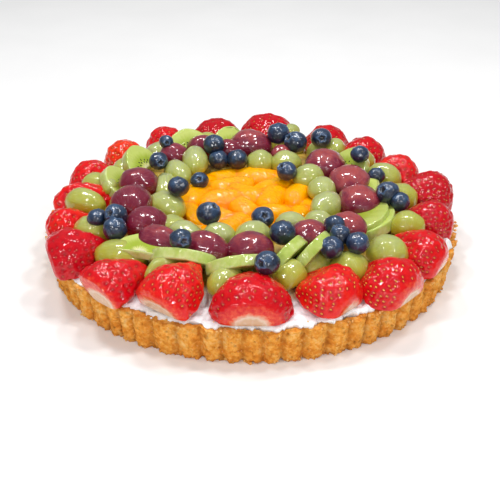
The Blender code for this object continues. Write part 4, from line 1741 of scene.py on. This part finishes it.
@dataclass
class CreamFill:
    """The whipped cream: a mound under the fruit whose ragged edge comes up over the rim."""

    rows: int = 100
    edge_rows: int = 30
    edge_share: float = 0.14  # of the radius, which the edge rows cover
    columns: int = 840
    edge_mm: float = 133.2
    ragged_mm: tuple[float, float] = (-1.9, 3.2)
    # ripples of the edge, on the unit circle, and of the top, in metres; their heights are in millimetres
    tatters: Table = ((1.5, 0.16, 3), (1.0, 0.05, 4), (0.5, 0.022, 5))
    lumps: Table = ((0.9, 14 * MM, 6), (0.4, 6 * MM, 7), (0.12, 2.4 * MM, 8))
    stained_mm: tuple[float, float] = (126, 131)  # where the stains of juice begin and are full
    # The glaze between the fruit also carries painted shade in the gaps.
    glazed_mm: tuple[float, float] = (102, 112)  # where the glaze between the fruit ends
    under_rim_mm: float = 22.2
    inwards_mm: float = 0.8  # from the edge down to the rim
    base_mm: float = 128.0
    foot_mm: float = 12.0
    blur_mm: float = 6.0
    # smears of cream drawn up at the rim: azimuth, half width (degrees), height (mm)
    smears: Table = (
        (-10, 3.2, 7.0),
        (-17, 3.0, 4.0),
        (-57, 3.0, 3.0),
        (29, 3.0, 4.0),
        (94, 3.5, 4.0),
        (172, 3.0, 3.5),
    )

    def level(self, points: np.ndarray) -> np.ndarray:
        """Level of the frame's cream at each place: its corners' mean, weighted by exp(-distance^2 / 2 s^2).

        Args:
            points: Places (n, 2) in metres.

        Returns:
            Levels in metres.
        """
        corners = merged_triangles("cream")[0]
        corners = corners[corners[:, 2] > 20 * MM]
        square = ((points[:, None, :] - corners[None, :, :2]) ** 2).sum(axis=2)
        weight = np.exp(-square / (2 * (self.blur_mm * MM) ** 2)) + 1e-12
        return (weight * corners[:, 2]).sum(axis=1) / weight.sum(axis=1)

    def build(self, material: bpy.types.Material) -> None:
        """Makes the fill: rings of the height field out to the ragged edge, then down inside the pastry.

        Args:
            material: The cream finish.
        """
        turn, rim = circle(self.columns)
        drawn = np.zeros(self.columns)
        for place, half, high in self.smears:
            away = (np.degrees(turn) - place + 180) % 360 - 180
            drawn += high * np.exp(-((away / half) ** 2))
        edge = (self.edge_mm + np.clip(ripples(rim, self.tatters), *self.ragged_mm) + 0.35 * drawn) * MM
        inner = np.linspace(0, 1, self.rows - self.edge_rows)[1:] * (1 - self.edge_share)
        outer = 1 - self.edge_share + self.edge_share * np.linspace(0, 1, self.edge_rows + 1)[1:]
        share = np.concatenate([inner, outer])
        spots = ((share[:, None] * edge)[:, :, None] * rim[None, :, :2]).reshape(-1, 2)
        level = self.top(spots, np.repeat(share, self.columns), np.tile(drawn, len(share)))
        points = np.column_stack([spots, level])
        foot = rim * (edge[:, None] - self.inwards_mm * MM) + UP * self.under_rim_mm * MM
        base = rim * self.base_mm * MM + UP * self.foot_mm * MM
        crown = UP * points[: self.columns, 2].mean()
        whole = np.vstack([crown, points, foot, base, UP * self.foot_mm * MM])
        reach = np.linalg.norm(whole[:, :2], axis=1) / MM
        # Glaze between the fruit, its darker yellow also painted shade in the gaps; it sets the coat too.
        glaze_and_shade = 1.0 - smooth_step(*self.glazed_mm, reach + 2.5 * waves(whole, 12 * MM, 12))
        shape = Shape("cream_fill")
        faces = ball_faces(len(share) + 2, self.columns)
        shape.add(whole, faces, stain=smooth_step(*self.stained_mm, reach), glaze_and_shade=glaze_and_shade)
        shape.build(material, "cream", ("cream",))

    def top(self, spots: np.ndarray, share: np.ndarray, drawn: np.ndarray) -> np.ndarray:
        """Level of the finished cream: the frame's with lumps on it, and with peaks and smears near the edge.

        Args:
            spots: Places (n, 2) in metres.
            share: Their distance from the middle as a share of the edge's.
            drawn: Height of the smear in millimetres there.

        Returns:
            Levels in metres.
        """
        flat = np.column_stack([spots, np.zeros(len(spots))])
        lumps = ripples(flat, self.lumps)
        outer = smooth_step(112, 130, np.linalg.norm(spots, axis=1) / MM)
        peaks = outer * np.maximum(waves(flat, 9 * MM, 9), -0.4) * 0.5
        smear = smooth_step(0.955, 0.98, share) * (1.0 - smooth_step(0.985, 1.0, share))
        smear = smear * drawn * (1.0 + 0.25 * waves(flat, 3.5 * MM, 14))
        rolled = 0.9 * (outer - smooth_step(0.98, 1.0, share))
        return self.level(spots) + (1.3 + 0.5 * lumps + peaks + smear + rolled) * MM


@dataclass
class PastryShell:
    """The tart shell: fluted outside, round inside, its foot ragged and its surface full of small holes."""

    flutes: int = 66
    per_flute: int = 22
    rim_mm: float = 138.2
    base_mm: float = 135.3
    flute_mm: float = 3.5
    inner_mm: float = 131.6
    height_mm: float = 22.8
    floor_mm: float = 5.0
    wall_rows: int = 38
    rough: Table = ((0.34, 8, 25), (0.26, 3.0, 26, 24), (0.16, 1.5, 27, 32))  # ripples, in millimetres
    # the rim from outside in: share of its width, and how far it lies below the top (mm)
    rim: Table = ((0.10, 0.0), (0.28, -0.05), (0.5, 0.0), (0.75, 0.1), (0.94, 0.35), (1.0, 1.2))
    # the lining from the rim down: share of the inner radius, level (mm)
    lining: Table = ((1.0, 18.0), (1.0, 12.0), (1.0, 5.0), (0.5, 5.0))
    underside_mm: float = 128.0
    pores: int = 760
    pore_mm: float = 0.85
    crumbs: int = 420
    # crumbs stuck to the cream: azimuth, reach, level, size (mm)
    stuck: Table = (
        (-7.0, 136.4, 29.5, 1.6),
        (-8.5, 137.0, 31.5, 1.8),
        (-10.0, 137.4, 31.0, 2.6),
        (-11.5, 137.2, 29.5, 1.8),
        (-13.0, 136.8, 28.0, 2.0),
        (-16.5, 136.8, 27.0, 1.6),
        (-99.0, 133.5, 27.0, 0.8),
        (-76.0, 134.0, 26.6, 0.9),
    )

    def build(self, material: bpy.types.Material) -> None:
        """Makes the shell and the crumbs on it.

        Args:
            material: The pastry finish.
        """
        columns = self.flutes * self.per_flute
        turn, around = circle(columns)
        wall, sharp, hole = self.wall(turn, around)
        rings = [np.column_stack([self.underside_mm * around[:, :2], np.zeros(columns)]), wall]
        last = wall[-columns:]
        reach = np.linalg.norm(last[:, :2], axis=1)
        for step, (inward, drop) in enumerate(self.rim):
            spot = reach + (self.inner_mm - reach) * inward
            level = last[:, 2] - drop + 0.18 * waves(last, 2.2, 40 + step)
            rings.append(np.column_stack([spot * np.cos(turn), spot * np.sin(turn), level]))
        for share, level in self.lining:
            rings.append(np.column_stack([self.inner_mm * share * around[:, :2], np.full(columns, level)]))
        body = np.vstack(rings)
        count = len(body) // columns
        points = np.vstack([[0, 0, 0], body, [0, 0, self.floor_mm]]) * MM
        height = body[:, 2]
        # Darker in the flute creases as painted shade, browned at the rim, and darker towards the foot.
        browned_and_shaded = 0.42 * np.tile(sharp**1.5, count) + 0.08 * waves(body, 5, 31)
        browned_and_shaded += 0.10 * smooth_step(19, 23.5, height) + 0.22 * smooth_step(3, 0, height)
        # Painted shade in the small holes of the wall.
        pore_shade = np.zeros(len(body))
        pore_shade[columns : columns + len(hole)] = np.clip(hole * 0.8 - 0.12, 0, 1)
        values = {
            "browned_and_shaded": np.clip(browned_and_shaded, 0, 0.8),
            "pore_shade": pore_shade,
            "crumb": np.clip(waves(body, 1.8, 32, 24) - 1.5, 0, 1) * 0.6,
        }
        faces = [array[:, ::-1] for array in ball_faces(count, columns)]
        shape = Shape("pastry_shell")
        shape.add(points, faces, **{name: np.pad(value, 1) for name, value in values.items()})
        shape.build(material, "crust", ("crust",))
        self.strew_crumbs(material, wall * MM, columns)

    def wall(self, turn: np.ndarray, around: np.ndarray) -> tuple[np.ndarray, np.ndarray, np.ndarray]:
        """The fluted wall: radius = base + lean - flute depth (crease^2 + 0.004)^0.575, crease = 1 - |sin|.

        Args:
            turn: Angle of each column.
            around: Its level unit direction (columns, 3).

        Returns:
            The wall's vertices in millimetres, row by row from the foot; how sharp the crease is in each
            column; and how deep each vertex lies in a hole, 0 to 1.
        """
        wander = 0.018 * waves(around, 0.35, 21)
        depth = 1.0 + 0.22 * waves(around, 0.28, 22)
        shaded_crease = 1.0 - np.abs(np.sin((turn + wander * 0.6) * self.flutes / 2))
        sharp = np.sqrt(shaded_crease * shaded_crease + 0.004)
        share = np.linspace(0, 1, self.wall_rows)[:, None]
        radius = self.base_mm + (self.rim_mm - self.base_mm) * share
        radius = radius - self.flute_mm * depth[None, :] * (sharp[None, :] ** 1.15) * (0.75 + 0.25 * share)
        rim_level = self.height_mm + 0.5 * waves(around, 0.5, 23) + 0.25 * waves(around, 0.06, 24)
        level = share * rim_level[None, :]
        flat = np.stack([radius * np.cos(turn), radius * np.sin(turn), level], axis=2).reshape(-1, 3)
        hole = self.holes(len(turn), rim_level.mean())
        foot = smooth_step(3.2, 0.0, flat[:, 2])
        ragged = np.maximum(waves(flat * (1, 1, 0.2), 4.5, 28, 24), -0.3)
        push = ripples(flat, self.rough) - self.pore_mm * hole - foot * (0.5 + 0.9 * ragged)
        wall = flat + np.tile(around, (self.wall_rows, 1)) * push[:, None]
        wall[:, 2] = np.maximum(wall[:, 2] + 0.12 * waves(flat, 3, 29) * smooth_step(0.3, 3, flat[:, 2]), 0.0)
        return wall, sharp, hole

    def holes(self, columns: int, height: float) -> np.ndarray:
        """How deep each vertex of the wall lies in a small hole: the largest exp(-(distance / radius)^2).

        Args:
            columns: Columns of the wall.
            height: Height of the wall in millimetres.

        Returns:
            One value for each vertex of the wall.
        """
        random = np.random.default_rng(33)
        column = random.integers(0, columns, self.pores)
        row = random.uniform(1, self.wall_rows - 2, self.pores)
        size = random.uniform(0.4, 1.0, self.pores) * (1 + (random.uniform(0, 1, self.pores) > 0.93) * 0.8)
        deep = random.uniform(0.3, 1.0, self.pores)
        step_round = 2 * math.pi * self.rim_mm / columns
        step_up = height / (self.wall_rows - 1)
        near = np.arange(-4, 5)
        rows = np.round(row)[:, None, None].astype(int) + near[None, :, None]
        turns = column[:, None, None] + near[None, None, :]
        square = ((rows - row[:, None, None]) * step_up) ** 2 + (near[None, None, :] * step_round) ** 2
        value = deep[:, None, None] * np.exp(-square / (size**2)[:, None, None])
        rows, turns, value = np.broadcast_arrays(rows, turns, value)
        inside = (rows >= 0) & (rows < self.wall_rows)
        depth = np.zeros(self.wall_rows * columns)
        np.maximum.at(depth, (rows * columns + turns % columns)[inside], value[inside])
        return depth

    def strew_crumbs(self, material: bpy.types.Material, wall: np.ndarray, columns: int) -> None:
        """Makes the crumbs: small lumps at the foot of the wall and along its rim.

        Args:
            material: The pastry finish.
            wall: Vertices of the wall in metres.
            columns: Columns of the wall.
        """
        random = np.random.default_rng(34)
        low = random.integers(0, 3 * columns, int(self.crumbs * 0.6))
        high = len(wall) - 1 - random.integers(0, 2 * columns, self.crumbs - len(low))
        picks = np.concatenate([low, high])
        ball = ball_ways(3, 7, UP)
        sizes = random.uniform(0.35, 0.95, (len(picks), 1, 1)) * random.uniform(0.7, 1.3, (len(picks), 1, 3))
        rough = 1.0 + random.uniform(-0.22, 0.22, (len(picks), len(ball), 1))
        middles = wall[picks] + unit(wall[picks] * (1, 1, 0)) * 0.15 * MM
        middles[:, 2] = np.maximum(middles[:, 2], 0.5 * MM)
        azimuth, reach, level, size = np.array(self.stuck).T
        middles[: len(size)] = polar(azimuth, reach, level)
        sizes[: len(size)] = (size / 2)[:, None, None] * (1.2, 0.8, 0.9)
        points = middles[:, None, :] + ball[None] * sizes * rough * MM
        points[:, :, 2] = np.maximum(points[:, :, 2], 0.0)
        faces = copies(ball_faces(3, 7), len(ball), len(picks))
        pale = np.repeat(random.uniform(0.0, 0.8, len(picks)), len(ball))
        shape = Shape("pastry_crumbs")
        shape.add(points.reshape(-1, 3), faces, browned_and_shaded=0.05, pore_shade=0.0, crumb=pale)
        shape.build(material, "crust")


# ---------------------------------------------------------------- studio


@dataclass
class Studio:
    """Floor, lights and camera."""

    floor_mm: float = 16000.0
    eye_mm: tuple[float, float, float] = (-1.08, -568.45, 326.5)
    look_down: float = 30.15
    roll: float = 0.36
    lens: float = 67.5
    shift: tuple[float, float] = (0.0016, 0.0034)
    sky: float = 0.22
    # place (m), width, depth (m), radiance
    lamps: tuple[tuple[float, ...], ...] = (
        (-0.40, 0.22, 1.15, 0.20, 0.14, 40.0),
        (0.02, 0.36, 1.20, 0.20, 0.14, 40.0),
        (0.42, 0.12, 1.15, 0.20, 0.14, 40.0),
        (0.72, -0.38, 1.00, 0.16, 0.12, 34.0),
        (-0.34, -0.52, 1.10, 0.16, 0.12, 34.0),
        (-0.48, -1.10, 0.72, 0.16, 0.12, 40.0),
        (0.38, -1.20, 0.66, 0.16, 0.12, 40.0),
        (0.0, -1.90, 0.75, 2.40, 1.10, 0.5),
    )

    def build(self, floor: bpy.types.Material) -> None:
        """Lays the floor, hangs the lamps and places the camera.

        Args:
            floor: The floor's finish.
        """
        half = self.floor_mm / 2 * MM
        corners = np.array([[-half, -half], [half, -half], [half, half], [-half, half]])
        mesh = bpy.data.meshes.new("floor")
        mesh.from_pydata(np.column_stack([corners, np.full(4, -0.1 * MM)]).tolist(), [], [[0, 1, 2, 3]])
        mesh.materials.append(floor)
        board = bpy.data.objects.new("floor", mesh)
        bpy.context.scene.collection.objects.link(board)
        for index, (x, y, z, width, depth, radiance) in enumerate(self.lamps):
            lamp = bpy.data.lights.new(f"lamp_{index + 1}", "AREA")
            lamp.shape = "RECTANGLE"
            lamp.size, lamp.size_y = width, depth
            lamp.energy = radiance * math.pi * width * depth
            thing = bpy.data.objects.new(lamp.name, lamp)
            thing.location = (x, y, z)
            thing.rotation_euler = (-Vector((x, y, z - 0.04))).to_track_quat("-Z", "Y").to_euler()
            bpy.context.scene.collection.objects.link(thing)
        world = bpy.data.worlds.new("studio")
        bpy.context.scene.world = world
        world.use_nodes = True
        ground = world.node_tree.nodes["Background"]
        ground.inputs["Color"].default_value = (1.0, 1.0, 1.0, 1.0)
        ground.inputs["Strength"].default_value = self.sky
        self.camera()
        bpy.context.scene.view_settings.view_transform = "Standard"

    def camera(self) -> None:
        """Places the camera: level turn none, looking down, rolled a little, with a small shift."""
        data = bpy.data.cameras.new("camera")
        data.lens = self.lens
        data.sensor_width = 36.0
        data.clip_start = 0.01
        data.shift_x, data.shift_y = self.shift
        down = math.radians(self.look_down)
        ahead = Vector((0.0, math.cos(down), -math.sin(down)))
        up = Vector((0.0, math.sin(down), math.cos(down)))
        right = ahead.cross(up)
        turn = Matrix((right, up, -ahead)).transposed() @ Matrix.Rotation(math.radians(self.roll), 3, "Z")
        thing = bpy.data.objects.new("camera", data)
        thing.matrix_world = Matrix.Translation(Vector(self.eye_mm) * MM) @ turn.to_4x4()
        bpy.context.scene.collection.objects.link(thing)
        bpy.context.scene.camera = thing


def write_sizes() -> None:
    """Updates the view layer."""
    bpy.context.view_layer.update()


def main() -> None:
    """Builds the tart from the shell up, then the studio round it."""
    logging.basicConfig(level=logging.INFO, format="%(message)s")
    top = Top()
    PastryShell().build(ShortcrustPastry().make())
    CreamFill().build(WhippedCream().make())
    MandarinHeap().build(MandarinFlesh().make(), top)
    Strawberries().build(StrawberryFlesh().make(), top)
    KiwiSlices().build(KiwiFlesh().make(), top)
    Grapes().build(GREEN_SKIN.make(), RED_SKIN.make(), top)
    Blueberries().build(BlueberrySkin().make(), top)
    Studio().build(PaleFloor().make())
    write_sizes()


if __name__ == "__main__":
    main()
